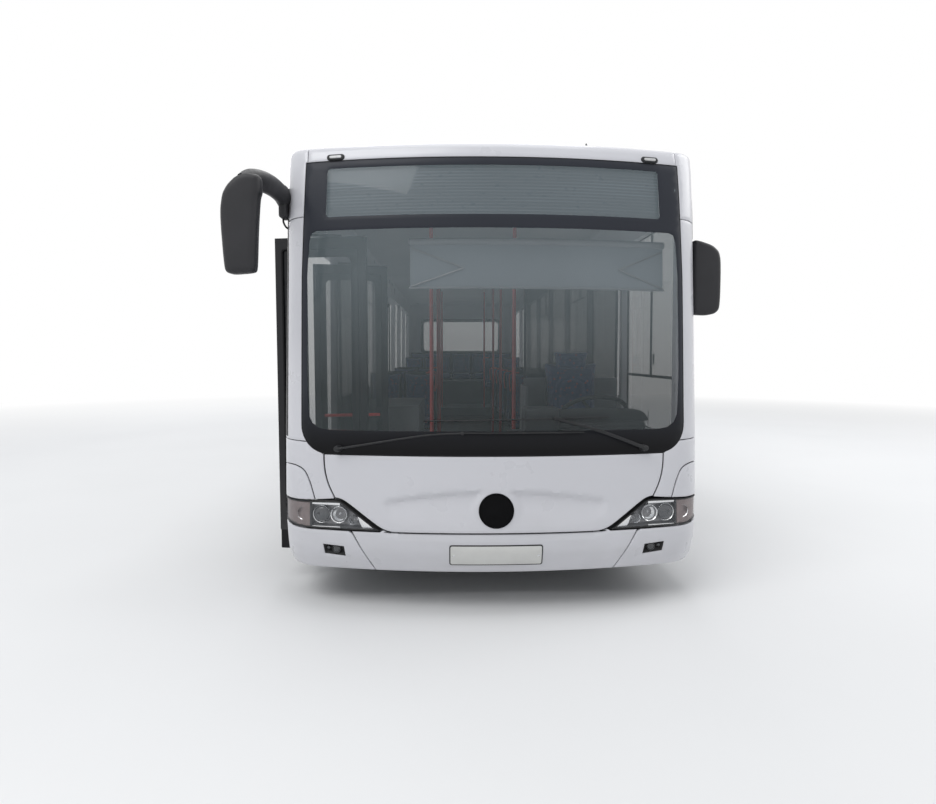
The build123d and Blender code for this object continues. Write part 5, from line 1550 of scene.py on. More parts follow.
def rim(centre, out, dish, hub_reach):
    """Rim well, flanges, disc with ten hand holes drawn as black caps of painted shade, nuts and the hub's
    end.
    """
    side = 1 if out > 0 else -1
    steel = []
    half = 0.098
    well = [(half, 0.262), (half + 0.004, 0.296), (half - 0.004, 0.298), (half - 0.010, 0.284),
            (half - 0.030, 0.282),
            (half - 0.045, 0.268), (0.0, 0.262), (-half + 0.045, 0.268), (-half + 0.030, 0.282),
            (-half + 0.010, 0.284),
            (-half + 0.004, 0.298), (-half - 0.004, 0.296), (-half, 0.262)]
    steel.append(lathe(well, centre, (side, 0, 0), 72))
    inner = [(-half, 0.262), (-half + 0.02, 0.256), (half - 0.02, 0.256), (half, 0.262)]
    steel.append(lathe(inner, centre, (side, 0, 0), 72))
    plane = Flat((centre[0] + side * dish, centre[1], centre[2]), (0, side, 0), (0, 0, 1))
    outline = circle(0, 0, 0.215, 60)
    holes = [circle(0, 0, 0.078, 32)]
    disc = sheet_form(plane, outline, step=0.025, edge=0.003, thick=0.012, holes=holes, closed=True)
    steel.append(disc)
    cone_to = dish - 0.055 if dish > 0 else dish + 0.045
    cone = [(dish, 0.213), (dish - 0.002, 0.217), (cone_to, 0.257), (cone_to - 0.006, 0.257),
            (dish - 0.012, 0.213)]
    steel.append(lathe(cone, centre, (side, 0, 0), 72))
    # The hand holes are not cut: black caps stand in for the shade seen through them.
    dark = []
    for k in range(10):
        angle = 2 * math.pi * (k + 0.5) / 10
        share = 0.52
        radius = 0.216 + 0.041 * share
        along = dish + (cone_to - dish) * share
        spot = Vector(centre) + Vector((side * along, radius * math.cos(angle), radius * math.sin(angle)))
        slope = Vector((side * 0.62, 0.78 * math.cos(angle), 0.78 * math.sin(angle)))
        if dish < 0:
            slope = Vector((side * 0.62, -0.78 * math.cos(angle), -0.78 * math.sin(angle)))
        dark.append(lathe([(-0.004, 0.0205), (0.0022, 0.0205), (0.0022, 0.0165), (-0.004, 0.0160),
                           (-0.004, 0)], spot,
                          slope, 20))
    nuts = []
    for k in range(10):
        angle = 2 * math.pi * k / 10
        spot = Vector(centre) + Vector((side * (dish + 0.001), NUT_CIRCLE * math.cos(angle),
                                        NUT_CIRCLE * math.sin(angle)))
        nuts.append(hexagon(spot, (side, 0, 0), 0.018, 0.026))
    end = hub_reach
    hub = [(dish - 0.03, 0.088), (dish + 0.012, 0.088), (dish + 0.018, 0.082), (end - 0.02, 0.066),
           (end - 0.006, 0.062),
           (end - 0.002, 0.050), (end - 0.010, 0.046), (end - 0.012, 0.020), (end - 0.008, 0.016),
           (end - 0.008, 0)]
    nuts.append(lathe(hub, centre, (side, 0, 0), 48))
    for k in range(8):
        angle = 2 * math.pi * (k + 0.5) / 8
        spot = Vector(centre) + Vector((side * (end - 0.004), 0.054 * math.cos(angle),
                                        0.054 * math.sin(angle)))
        nuts.append(hexagon(spot, (side, 0, 0), 0.0055, 0.008))
    return steel, dark, nuts


def wheels():
    for tag, side in SIDES:
        centre = (side * FRONT_WHEEL_X, FRONT + WHEEL_S[0], WHEEL_Z)
        body = f"wheel_front_{tag}"
        add(f"front_tyre_{tag}", tyre(centre, side), TYRE, body, f"tyre_front_{tag}")
        steel, dark, nuts = rim(centre, side, 0.072, 0.110)
        add(f"front_rim_{tag}", steel, STEEL, body, f"rim_front_{tag}")
        add(f"front_hand_hole_shade_{tag}", dark, BLACK_AND_SHADE, body)
        add(f"front_nuts_{tag}", nuts, HUB, body)
        body = f"wheels_rear_{tag}"
        inner = (side * (TWIN_X - TWIN_SPACING / 2), FRONT + WHEEL_S[1], WHEEL_Z)
        outer = (side * (TWIN_X + TWIN_SPACING / 2), FRONT + WHEEL_S[1], WHEEL_Z)
        add(f"rear_tyres_{tag}", tyre(inner, side) + tyre(outer, side), TYRE, body, f"tyres_rear_{tag}")
        steel, dark, nuts = rim(outer, side, -0.058, 0.060)
        inner_steel, inner_dark, _ = rim(inner, side, 0.072, 0.080)
        add(f"rear_rims_{tag}", steel + inner_steel, STEEL, body, f"rims_rear_{tag}")
        add(f"rear_hand_hole_shade_{tag}", dark + inner_dark, BLACK_AND_SHADE, body)
        add(f"rear_nuts_{tag}", nuts, HUB, body)


wheels()
# Doors: rubber edges, glazing seals, brush strips and grips on the leaves

LEAF_ARM = 0.217
LEAF_TRAIL = 0.188
LEAF_LEAD = 0.415
LEAF_Z = (0.330, 2.238)
LEAF_OUT = 0.058         # outer face from the pivot line
LEAF_IN = 0.022
POST_X = 1.185
ARM_REACH = 0.240        # the arms turn under the leaf as far as this from its pivot
DOOR_PLACES = (
    # name, S of the post, way, opening angle at rest
    ("front_door_fore", 0.625, 1, 80),
    ("front_door_aft", 1.895, -1, 80),
    ("mid_door_fore", 5.025, 1, 0),
    ("mid_door_aft", 6.295, -1, 0),
)


def leaf_matrix(s, way, angle):
    """From a leaf's own frame (outward -X, leading edge +Y) to its place at rest."""
    turn = math.radians(angle)
    pivot = Matrix.Translation((LEAF_ARM * math.sin(turn), LEAF_ARM * math.cos(turn), 0))
    flip = Matrix.Diagonal((1, way, 1, 1))
    return Matrix.Translation((-POST_X, FRONT + s, 0)) @ flip @ pivot @ Matrix.Rotation(turn, 4, "Z")


def leaf_forms():
    """Forms of one leaf by material, in the leaf's frame."""
    low, high = LEAF_Z
    edge = []
    for inner, outer in ((LEAF_LEAD - 0.012, LEAF_LEAD + 0.0018),
                         (-LEAF_TRAIL - 0.004, -LEAF_TRAIL + 0.012)):
        edge.append(box((-LEAF_OUT + 0.003, -LEAF_IN - 0.003), (inner, outer), (low + 0.002, high - 0.002),
                        0.004))
    brush = [box((-LEAF_OUT + 0.008, -LEAF_IN - 0.008), (ARM_REACH, LEAF_LEAD - 0.004),
                 (low - 0.022, low + 0.004), 0.004)]
    brush.append(box((-LEAF_OUT, -LEAF_OUT + 0.014), (LEAF_LEAD - 0.150, LEAF_LEAD - 0.003),
                     (low - 0.125, low + 0.004),
                     0.005))
    seals = []
    outline = round_rect((-LEAF_TRAIL + 0.045, LEAF_LEAD - 0.045), (low + 0.150, high - 0.070), 0.022, 5)
    for x in (-LEAF_OUT + 0.003, -LEAF_IN - 0.003):
        path = [(x, y, z) for y, z in dense(outline, 0.10)]
        seals.append(tube(path, (0.0055, 0.0075), 6, closed=True))
    rail = [box((-LEAF_IN, -LEAF_IN + 0.012), (-0.12, 0.34), (0.975, 1.00), 0.005)]
    face = Flat((-LEAF_OUT + 0.0095, 0, 0), (0, -1, 0), (0, 0, 1))
    outer = round_rect((-LEAF_LEAD + 0.047, LEAF_TRAIL - 0.047), (low + 0.152, high - 0.072), 0.020, 5)
    inner = round_rect((-LEAF_LEAD + 0.100, LEAF_TRAIL - 0.100), (low + 0.205, high - 0.125), 0.040, 5)
    printed = [sheet_form(face, outer, step=0.09, edge=0.0005, thick=0.001, holes=[inner])]
    return edge + brush, seals, rail, printed


def transformed(form, matrix, flip):
    points, faces = form
    points = [matrix @ Vector(p) for p in points]
    if flip:
        faces = [tuple(face)[::-1] for face in faces]
    return points, faces


def doors():
    kinds = list(zip(("rubbers", "seals", "rail", "print"), leaf_forms(),
                     (RUBBER, RUBBER, POLE, FRIT_SIDE)))
    for name, s, way, angle in DOOR_PLACES:
        matrix = leaf_matrix(s, way, angle)
        for kind, forms, material in kinds:
            placed = [transformed(form, matrix, way < 0) for form in forms]
            add(f"{name}_{kind}", placed, material, f"{name}_leaf")


doors()
# Cab: dashboard, steering wheel, partition, blind

WHEEL_CENTRE = Vector((0.720, FRONT + 0.800, 1.090))
WHEEL_AXIS = Vector((0, 0.55, 0.83)).normalized()


def dashboard_forms():
    y = FRONT
    body = [
        box((0.102, 1.158), (y + 0.332, y + 0.618), (0.702, 1.008), 0.030),
        box((0.202, 1.098), (y + 0.402, y + 0.558), (0.302, 0.720), 0.020),
        box((0.422, 1.018), (y + 0.562, y + 0.698), (0.862, 1.058), 0.026),
    ]
    hood = smooth([(0.45, 1.050), (0.47, 1.078), (0.58, 1.092), (0.86, 1.092), (0.97, 1.078),
                   (0.99, 1.050)], 4)
    path = [(x, y + 0.600, z) for x, z in hood]
    body.append(tube(path, (0.050, 0.010), 10))
    shelf = box((-0.90, 0.10), (y + 0.300, y + 0.420), (0.965, 1.000), 0.012)
    return body, shelf


def cab():
    y = FRONT
    body, shelf = dashboard_forms()
    add("dash_body", body, DASH, node="dashboard")
    add("screen_shelf", shelf, DASH)
    dials = []
    rings = []
    normal = Vector((0, 0.80, 0.60)).normalized()
    for x, radius in ((0.62, 0.050), (0.82, 0.050), (0.72, 0.030), (0.53, 0.024), (0.91, 0.024)):
        spot = Vector((x, y + 0.667, 1.054))
        rings.append(lathe([(-0.004, radius), (0.006, radius), (0.008, radius * 0.95),
                            (0.003, radius * 0.90)], spot, normal, 32))
        dials.append(lathe([(0.003, radius * 0.90), (0.0035, 0)], spot, normal, 32))
        needle = spot + normal * 0.006
        rings.append(tube([needle, needle + Vector((-0.6, 0.4, 0.5)).normalized() * radius * 0.7], 0.0016,
                          5))
    buttons = []
    for row in range(2):
        for k in range(9):
            x = 0.16 + 0.034 * k
            buttons.append(box((x, x + 0.026), (y + 0.610, y + 0.624),
                               (0.86 + 0.05 * row, 0.892 + 0.05 * row), 0.004))
    for k in range(7):
        x = 0.46 + 0.075 * k
        buttons.append(box((x, x + 0.055), (y + 0.694, y + 0.704), (0.90, 0.945), 0.005))
    add("dial_rings", rings, CHROME)
    add("dial_faces", dials, BLACK_AND_SHADE)
    add("dash_buttons", buttons, HUB)
    machine = [box((0.20, 0.42), (y + 0.360, y + 0.560), (1.004, 1.160), 0.018),
               box((0.225, 0.395), (y + 0.556, y + 0.566), (1.050, 1.135), 0.004)]
    add("ticket_machine", machine, DASH)
    rim = [WHEEL_CENTRE + WHEEL_AXIS.to_track_quat("Z", "X") @ Vector((0.225 * math.cos(a),
                                                                       0.225 * math.sin(a), 0))
           for a in np.linspace(0, 2 * math.pi, 49)[:-1]]
    wheel = [tube(rim, 0.0148, 12, closed=True)]
    turn = WHEEL_AXIS.to_track_quat("Z", "X")
    boss = [(-0.011, 0.058), (0.004, 0.060), (0.010, 0.054), (0.012, 0.030), (0.012, 0)]
    wheel.append(lathe(boss, WHEEL_CENTRE, WHEEL_AXIS, 40))
    for degrees in (90, 210, 330):
        a = math.radians(degrees)
        inner = WHEEL_CENTRE + turn @ Vector((0.045 * math.cos(a), 0.045 * math.sin(a), 0))
        outer = WHEEL_CENTRE + turn @ Vector((0.220 * math.cos(a), 0.220 * math.sin(a), 0))
        middle = (inner + outer) / 2 - WHEEL_AXIS * 0.004
        wheel.append(tube([inner, middle, outer], [(0.026, 0.007), (0.017, 0.006), (0.015, 0.006)], 8))
    add("wheel_rim", wheel, DASH, "steering_wheel", "steering_wheel")
    column = [(-0.270, 0.030), (-0.250, 0.036), (-0.090, 0.036), (-0.060, 0.030), (-0.014, 0.027)]
    stalks = [tube([WHEEL_CENTRE - WHEEL_AXIS * 0.075,
                    WHEEL_CENTRE - WHEEL_AXIS * 0.060 + Vector((side * 0.15, 0.01, 0.01))],
                   [0.009, 0.006], 8) for side in (1, -1)]
    add("column_shroud", [lathe(column, WHEEL_CENTRE, WHEEL_AXIS, 32)] + stalks, DASH,
        node="steering_column")


def partition():
    """Panel behind the driver: laminate below, tinted glass above, in a rounded frame."""
    y = FRONT + 1.855
    lower = [box((0.362, 1.158), (y - 0.013, y + 0.013), (0.302, 1.300), 0.006),
             box((0.332, 0.358), (FRONT + 1.502, FRONT + 1.868), (0.302, 1.248), 0.006)]
    add("partition_panels", lower, PANEL, node="partition")
    frame = [(0.372, y, 1.30), (0.372, y, 2.02), (0.392, y, 2.075), (0.44, y, 2.088), (1.08, y, 2.088),
             (1.13, y, 2.075),
             (1.146, y, 2.02), (1.146, y, 1.30)]
    add("partition_frame", tube(smooth(frame, 4), (0.0115, 0.0115), 8), DASH)
    pane = Flat((0, y + 0.004, 0), (-1, 0, 0), (0, 0, 1))
    loop = round_rect((-1.140, -0.380), (1.290, 2.080), 0.05)
    add("partition_glass", sheet_form(pane, loop, step=0.08, edge=0.001, thick=0.006, closed=True),
        GLASS_SIDE)


def inner_screen(x, z, off):
    t, v = front.at_x(x, z)
    return Vector(front.point(t, v, off))


BLIND_X = (-0.508, 1.076)
BLIND_Z = (1.895, 2.145)
BLIND_BARS_X = (-0.515, 1.083)
BLIND_BACK = -0.115      # from the windscreen's outer skin


def blind():
    """Roller blind part way down behind the windscreen, on its scissor arms."""
    work = []
    faces = []
    columns = 28
    rows = 10
    for row in range(rows + 1):
        for k in range(columns + 1):
            x = BLIND_X[0] + (BLIND_X[1] - BLIND_X[0]) * k / columns
            z = BLIND_Z[1] - (BLIND_Z[1] - BLIND_Z[0]) * row / rows
            wave_off = 0.0022 * math.sin(k * 0.9 + row * 0.35) * (row / rows)
            work.append(inner_screen(x, z, BLIND_BACK + wave_off))
    for row in range(rows):
        for k in range(columns):
            a = row * (columns + 1) + k
            faces.append((a, a + 1, a + columns + 2, a + columns + 1))
    cloth = add("sun_blind", (work, faces), BLIND)
    bar = [inner_screen(x, 1.892, BLIND_BACK) for x in np.linspace(*BLIND_BARS_X, 9)]
    roll = [inner_screen(x, 2.165, -0.120) for x in np.linspace(*BLIND_BARS_X, 9)]
    add("blind_bars", [tube(bar, 0.007, 10), tube(roll, 0.022, 14)], PANEL)
    arms = []
    for tip, far in (((-0.183, 2.005), (-0.498, 0)), ((0.770, 2.005), (1.060, 0))):
        for level in (2.125, 1.900):
            arms.append(tube([inner_screen(tip[0], tip[1], -0.104), inner_screen(far[0], level, -0.108)],
                             0.0045, 6))
    add("blind_scissors", arms, HUB)


cab()
partition()
blind()
# Seats: padded cushions and backs in moulded shells

def pillow(name, size, cap, channels):
    """Cushion of a size (x, y, z) about its own middle, crowned by a cloth simulation under pressure."""
    points, faces = box((-size[0] / 2, size[0] / 2), (-size[1] / 2, size[1] / 2),
                        (-size[2] / 2, size[2] / 2),
                        min(size) * 0.30, segments=4)
    mesh = bpy.data.meshes.new(name)
    mesh.from_pydata([tuple(p) for p in points], [], faces)
    piece = bpy.data.objects.new(name, mesh)
    bpy.context.scene.collection.objects.link(piece)
    bpy.context.view_layer.objects.active = piece
    remesh = piece.modifiers.new("remesh", "REMESH")
    remesh.mode = "VOXEL"
    remesh.voxel_size = 0.006
    bpy.ops.object.select_all(action="DESELECT")
    piece.select_set(True)
    bpy.ops.object.modifier_apply(modifier="remesh")
    before = np.array([v.co[:] for v in piece.data.vertices])
    cloth = piece.modifiers.new("cloth", "CLOTH")
    cloth.settings.use_pressure = True
    cloth.settings.uniform_pressure_force = 4
    cloth.settings.effector_weights.gravity = 0
    cloth.point_cache.frame_start = 1
    cloth.point_cache.frame_end = 20
    for step in range(1, 21):
        bpy.context.scene.frame_set(step)
    bpy.ops.object.modifier_apply(modifier="cloth")
    bpy.context.scene.frame_set(1)
    after = np.array([v.co[:] for v in piece.data.vertices])
    move = after - before
    length = np.linalg.norm(move, axis=1)
    scale = np.minimum(1, cap / np.maximum(length, 1e-9))
    after = sewn(before + move * scale[:, None], size, channels)
    for vert, place in zip(piece.data.vertices, after):
        vert.co = place
    thin = piece.modifiers.new("thin", "DECIMATE")
    thin.ratio = min(CUSHION_TRIANGLES / (2 * len(piece.data.polygons)), 1)
    bpy.ops.object.modifier_apply(modifier="thin")
    points = [tuple(vert.co) for vert in piece.data.vertices]
    faces = [tuple(face.vertices) for face in piece.data.polygons]
    bpy.data.objects.remove(piece)
    return points, faces


def sewn(points, size, channels):
    """Cushion with sewn channels across its upper side."""
    result = []
    for x, y, z in points:
        crown = 1 - (2 * x / size[0]) ** 2 * 0.35
        if z > 0:
            z += 0.010 * crown * max(1 - (2 * y / size[1]) ** 4, 0)
            for place in channels:
                z -= 0.007 * math.exp(-((y - place) / 0.006) ** 2)
        result.append((x, y, z))
    return result


CUSHION_TRIANGLES = 3600
CUSHION_SIZE = (0.350, 0.390, 0.062)
BACK_SIZE = (0.350, 0.560, 0.052)
CUSHION_FORM = pillow("cushion_work", CUSHION_SIZE, 0.024, (-0.11, 0.02))
BACK_FORM = pillow("back_work", BACK_SIZE, 0.024, (-0.14, 0.02, 0.17))


def soft_mesh(name, form, stretch):
    mesh = bpy.data.meshes.new(name)
    mesh.from_pydata([tuple(np.array(p) * stretch) for p in form[0]], [], form[1])
    mesh.shade_smooth()
    mesh.materials.append(SEAT)
    return mesh


def soft_piece(name, mesh, matrix, node=None):
    piece = bpy.data.objects.new(name, mesh)
    piece.matrix_world = matrix
    bpy.context.scene.collection.objects.link(piece)
    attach(piece, "body")
    if node:
        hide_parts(node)


def cushion_matrix(x, y, z):
    return Matrix.Translation((x, y, z)) @ Matrix.Rotation(math.radians(3), 4, "X")


def back_matrix(x, y, z, lean=8):
    """Cushion stood up: its crowned side forward, leaning back."""
    return Matrix.Translation((x, y, z)) @ Matrix.Rotation(math.radians(90 - lean), 4, "X")


DOUBLE_SEATS = [
    # S of the front edge, side, floor height
    (3.420, -1, 0.300), (4.150, -1, 0.300), (6.650, -1, 0.300), (7.350, -1, 0.300), (9.300, -1, 0.470),
    (9.300, 1, 0.470),
]
DOUBLE_SEATS += [(3.420 + 0.730 * i, 1, 0.300) for i in range(6)]


def double_seats():
    cushion = soft_mesh("seat_cushion", CUSHION_FORM, (1, 1, 1))
    back = soft_mesh("seat_back", BACK_FORM, (1, 1, 1))
    shells = []
    grips = []
    for index, (s, side, base) in enumerate(DOUBLE_SEATS):
        y = FRONT + s
        for place, x in enumerate((0.612, 0.998)):
            name = f"seat_{index}_{place}"
            soft_piece(f"{name}_cushion", cushion, cushion_matrix(side * x, y + 0.205, base + 0.425),
                       "seats" if index == 0 and place == 0 else None)
            soft_piece(f"{name}_back", back, back_matrix(side * x, y + 0.405, base + 0.715))
            shells.append(box((side * x - 0.182, side * x + 0.182), (y + 0.432, y + 0.449),
                              (base + 0.400, base + 0.998),
                              0.008))
            shells.append(box((side * x - 0.182, side * x + 0.182), (y + 0.015, y + 0.425),
                              (base + 0.382, base + 0.400),
                              0.008))
        shells.append(box(sorted((side * 0.784, side * 0.856)), (y + 0.124, y + 0.336),
                          (base + 0.001, base + 0.386), 0.012))
        shells.append(box(sorted((side * 0.730, side * 0.910)), (y + 0.110, y + 0.350),
                          (base + 0.001, base + 0.012), 0.005))
        bar = [(side * 0.440, y + 0.441, base + 0.78), (side * 0.428, y + 0.441, base + 0.93),
               (side * 0.450, y + 0.441, base + 0.985), (side * 0.54, y + 0.441, base + 0.992)]
        grips.append(tube(smooth(bar, 4), 0.011, 10))
    add("seat_shells", shells, DASH)
    add("seat_grips", grips, POLE)


def rear_bench():
    y = FRONT + 11.150
    cushion = soft_mesh("bench_cushion", CUSHION_FORM, (1.30, 1.0, 1.25))
    back = soft_mesh("bench_back", BACK_FORM, (1.30, 0.84, 1.1))
    for k in range(5):
        x = -0.936 + 0.468 * k
        soft_piece(f"bench_{k}_cushion", cushion, cushion_matrix(x, y + 0.205, 1.020))
        soft_piece(f"bench_{k}_back", back, back_matrix(x, y + 0.405, 1.330, 4))
    shells = [box((-1.178, 1.178), (y + 0.010, y + 0.430), (0.962, 0.985), 0.008),
              box((-1.178, 1.178), (y + 0.440, y + 0.468), (1.062, 1.578), 0.010)]
    add("bench_shell", shells, DASH)


def cab_seat():
    y = FRONT + 1.150
    cushion = soft_mesh("cab_cushion", CUSHION_FORM, (1.36, 1.16, 1.45))
    back = soft_mesh("cab_back", BACK_FORM, (1.25, 1.08, 1.6))
    head = soft_mesh("cab_headrest", CUSHION_FORM, (0.80, 0.42, 1.25))
    soft_piece("cab_seat_cushion", cushion, cushion_matrix(0.720, y + 0.245, 0.790), "driver_seat")
    soft_piece("cab_seat_back", back, back_matrix(0.720, y + 0.478, 1.130))
    soft_piece("cab_seat_head", head, back_matrix(0.720, y + 0.492, 1.435, 4))
    frame = [box((0.50, 0.94), (y + 0.020, y + 0.46), (0.722, 0.755), 0.012),
             box((0.52, 0.92), (y + 0.512, y + 0.538), (0.80, 1.42), 0.012),
             box((0.602, 0.838), (y + 0.082, y + 0.398), (0.302, 0.36), 0.010)]
    for k in range(5):
        z = 0.372 + 0.068 * k
        frame.append(box((0.625 - 0.008 * (k % 2), 0.815 + 0.008 * (k % 2)), (y + 0.11, y + 0.37),
                         (z, z + 0.06), 0.022))
    for x in (0.485, 0.955):
        frame.append(box((x - 0.022, x + 0.022), (y + 0.15, y + 0.43), (1.00, 1.04), 0.014))
        frame.append(box((x - 0.010, x + 0.010), (y + 0.43, y + 0.52), (0.98, 1.03), 0.006))
    add("cab_seat_frame", frame, DASH)


double_seats()
rear_bench()
cab_seat()
# Rear end: flap with louvres, lamp clusters, window border, plate; roof unit

FLAP_OUTLINE = (1.008, 0.563, 1.400)
LOUVRE_Z = [0.70 + 0.042 * k for k in range(9)]


def louvre_dents(t, v):
    """Depth of the pressed louvres in the middle of the engine flap."""
    side = ease((0.66 - abs(t)) / 0.05)
    z = rear.z_at(v)
    dent = max(math.exp(-((z - level) / 0.013) ** 2) for level in LOUVRE_Z)
    frame = math.exp(-((abs(t) - 0.93) / 0.010) ** 2) if 0.62 < z < 1.34 else 0.0
    return -0.007 * dent * side - 0.0025 * frame


def rear_rect(x, z, radius):
    """Outline on the rear skin, round-cornered between the pairs x and z."""
    return rear.along_x(round_rect(x, z, radius))


def rear_flap():
    half, low, high = FLAP_OUTLINE
    form = sheet_form(rear, rear_rect((-half, half), (low, high), 0.045), step=0.017, edge=0.004,
                      thick=0.030,
                      relief=louvre_dents, closed=True)
    add("rear_flap_skin", form, WHITE, "engine_flap", "engine_flap")
    # Black strips in the louvre dents: painted shade of the slots.
    slats = []
    for level in LOUVRE_Z:
        line = [Vector(rear.point(*rear.at_x(x, level - 0.008), -0.0075)) for x in np.linspace(-0.60, 0.60,
                                                                                               13)]
        slats.append(tube(line, (0.0065, 0.0022), 8))
    add("rear_flap_slot_shade", slats, BLACK_AND_SHADE, "engine_flap")
    latches = []
    for x in (-0.80, 0.80):
        spot = Vector(rear.point(*rear.at_x(x, 0.63), -0.0035))
        latches.append(lathe([(-0.003, 0.020), (0.002, 0.020), (0.003, 0.014), (0.001, 0.008), (0.001, 0)],
                             spot, (0, 1, 0), 24))
    add("rear_flap_locks", latches, CHROME, "engine_flap")


def rear_lamps():
    """Lamp clusters of both corners, one lens above the other in a dark housing."""
    lenses = ((0.706, 0.838, RED_LENS), (0.844, 0.936, AMBER), (0.942, 1.034, LENS_PALE),
              (1.040, 1.144, RED_LENS))
    backs = []
    for place, (low, high, material) in enumerate(lenses):
        forms = []
        for side in (-1, 1):
            loop = round_rect((1.116, 1.224), (low, high), 0.014)
            loop = rear.along_x([(side * x, z) for x, z in loop])
            forms.append(sheet_form(rear, loop, step=0.012, edge=0.009, thick=0.018, closed=True))
        add(f"rear_lens_{place}", forms, material, "body", "tail_lamps" if place == 0 else None)
    for side in (-1, 1):
        loop = rear.along_x([(side * x, z) for x, z in round_rect((1.111, 1.229), (0.701, 1.149), 0.016)])
        backs.append(sheet_form(rear, loop, step=0.02, edge=0.002, thick=0.016, off=-0.006, closed=True))
    add("rear_lamp_housings", backs, BLACK_AND_SHADE)
    strip = sheet_form(rear, rear_rect((-0.17, 0.17), (2.492, 2.522), 0.010), step=0.012, edge=0.006,
                       thick=0.010, off=0.006,
                       closed=True)
    add("brake_strip", strip, RED_LENS)
    marks = [sheet_form(rear, rear_rect((x - 0.038, x + 0.038), (2.500, 2.530), 0.011), step=0.012,
                        edge=0.006, thick=0.010,
                        off=0.006, closed=True) for x in (-0.98, 0.98)]
    add("rear_markers", marks, RED_LENS)
    reflectors = [sheet_form(rear, rear_rect((x - 0.034, x + 0.034), (0.475, 0.515), 0.012), step=0.012,
                             edge=0.003,
                             thick=0.006, off=-0.001, closed=True) for x in (-1.0, 1.0)]
    add("rear_reflectors", reflectors, RED_LENS)


def rear_glass_border():
    outer = rear_rect((-0.966, 0.966), (1.554, 2.386), 0.094)
    inner = rear_rect((-0.892, 0.892), (1.622, 2.312), 0.070)
    form = sheet_form(rear, outer, step=0.02, edge=0.001, thick=0.004, off=0.0012, holes=[inner])
    add("rear_window_print", form, FRIT_SIDE)
    points = dense(round_rect((-0.962, 0.962), (1.558, 2.382), 0.092), 0.05)
    line = [Vector(rear.point(*rear.at_x(x, z), -0.0035)) for x, z in points]
    add("rear_window_seal", tube(line, (0.0085, 0.006), 8, closed=True), RUBBER)


def rear_plate():
    """Blank plate over its two holes, its face level with the fullest part of the bumper."""
    plate = Flat((0, REAR - 0.0002, 0), (-1, 0, 0), (0, 0, 1))
    form = sheet_form(plate, round_rect((-0.26, 0.26), (0.360, 0.466), 0.010), step=0.06, edge=0.002,
                      thick=0.0035, closed=True)
    add("rear_plate_blank", form, PLATE)


AIR_UNIT_TOP_Z = 3.034
FAN_X = (-0.38, 0.38)
FAN_S = (1.90, 2.66)


def roof_pieces():
    """Air unit with its fans, black discs of painted shade in the fan wells, and louvres."""
    y = FRONT
    shell = [box((-0.798, 0.798), (y + 1.502, y + 3.048), (2.765, AIR_UNIT_TOP_Z), 0.055, segments=6)]
    for x in (-0.793, 0.793):
        for k in range(9):
            shell.append(box((x - 0.006, x + 0.006), (y + 1.62 + 0.15 * k, y + 1.73 + 0.15 * k),
                             (2.86, 2.874), 0.004))
            shell.append(box((x - 0.006, x + 0.006), (y + 1.62 + 0.15 * k, y + 1.73 + 0.15 * k),
                             (2.90, 2.914), 0.004))
    add("air_unit_shell", shell, ROOF_WHITE, node="roof_unit")
    rings = []
    wells = []
    for x in FAN_X:
        for s in FAN_S:
            spot = (x, y + s, AIR_UNIT_TOP_Z)
            rings.append(lathe([(-0.01, 0.265), (0.012, 0.265), (0.018, 0.258), (0.018, 0.246),
                                (0.0, 0.238)], spot, (0, 0, 1), 48))
            for radius in (0.06, 0.12, 0.18):
                ring = [(x + radius * math.cos(a), y + s + radius * math.sin(a),
                         3.043) for a in np.linspace(0, 2 * math.pi, 33)[:-1]]
                rings.append(tube(ring, 0.003, 5, closed=True))
            for k in range(8):
                a = math.pi * k / 4
                rings.append(tube([(x + 0.02 * math.cos(a), y + s + 0.02 * math.sin(a), 3.044),
                                   (x + 0.25 * math.cos(a), y + s + 0.25 * math.sin(a), 3.044)], 0.003, 5))
            # Black disc in each fan well: painted shade under the fan.
            wells.append(lathe([(0.001, 0.243), (0.0015, 0)], spot, (0, 0, 1), 48))
    add("air_unit_rings", rings, PANEL)
    add("air_unit_fan_shade", wells, BLACK_AND_SHADE)


rear_flap()
rear_lamps()
rear_glass_border()
rear_plate()
roof_pieces()
# CAD nodes that keep their own shape

FINISH = (
    (WHITE, ["wall_kerb", "wall_road", "rear_wall", "engine_flap", "bumper_rear"]),
    (ROOF_WHITE, ["roof", "roof_unit", "hatch_front", "hatch_rear"]),
    (GLASS_SIDE, ["glass_kerb", "glass_road", "rear_window"]),
    (RED_LENS, ["tail_lamps"]),
    (TYRE, ["tyre_front_kerb", "tyre_front_road", "tyres_rear_kerb", "tyres_rear_road"]),
    (STEEL, ["rim_front_kerb", "rim_front_road", "rims_rear_kerb", "rims_rear_road"]),
    (CHASSIS, ["front_axle", "rear_axle", "knuckle_kerb", "knuckle_road", "tie_rod"]),
    (FLOOR, ["floor", "rear_floor", "wheel_boxes"]),
    (IRON, ["engine"]),
    (DASH, ["dashboard", "steering_column", "steering_wheel"]),
    (SEAT, ["seats", "driver_seat"]),
    (POLE, ["handrails"]),
    (DISPLAY, ["display"]),
    (PANEL, ["partition"]),
    (DOOR, [f"{door}_{part}" for door in DOORS for part in ("arm", "leaf")]),
    (GLASS_DOOR, [f"{door}_glass" for door in DOORS]),
)
for material, names in FINISH:
    for name in names:
        node = frame["nodes"][name]
        node.data.materials.clear()
        node.data.materials.append(material)


# Stage, light and camera

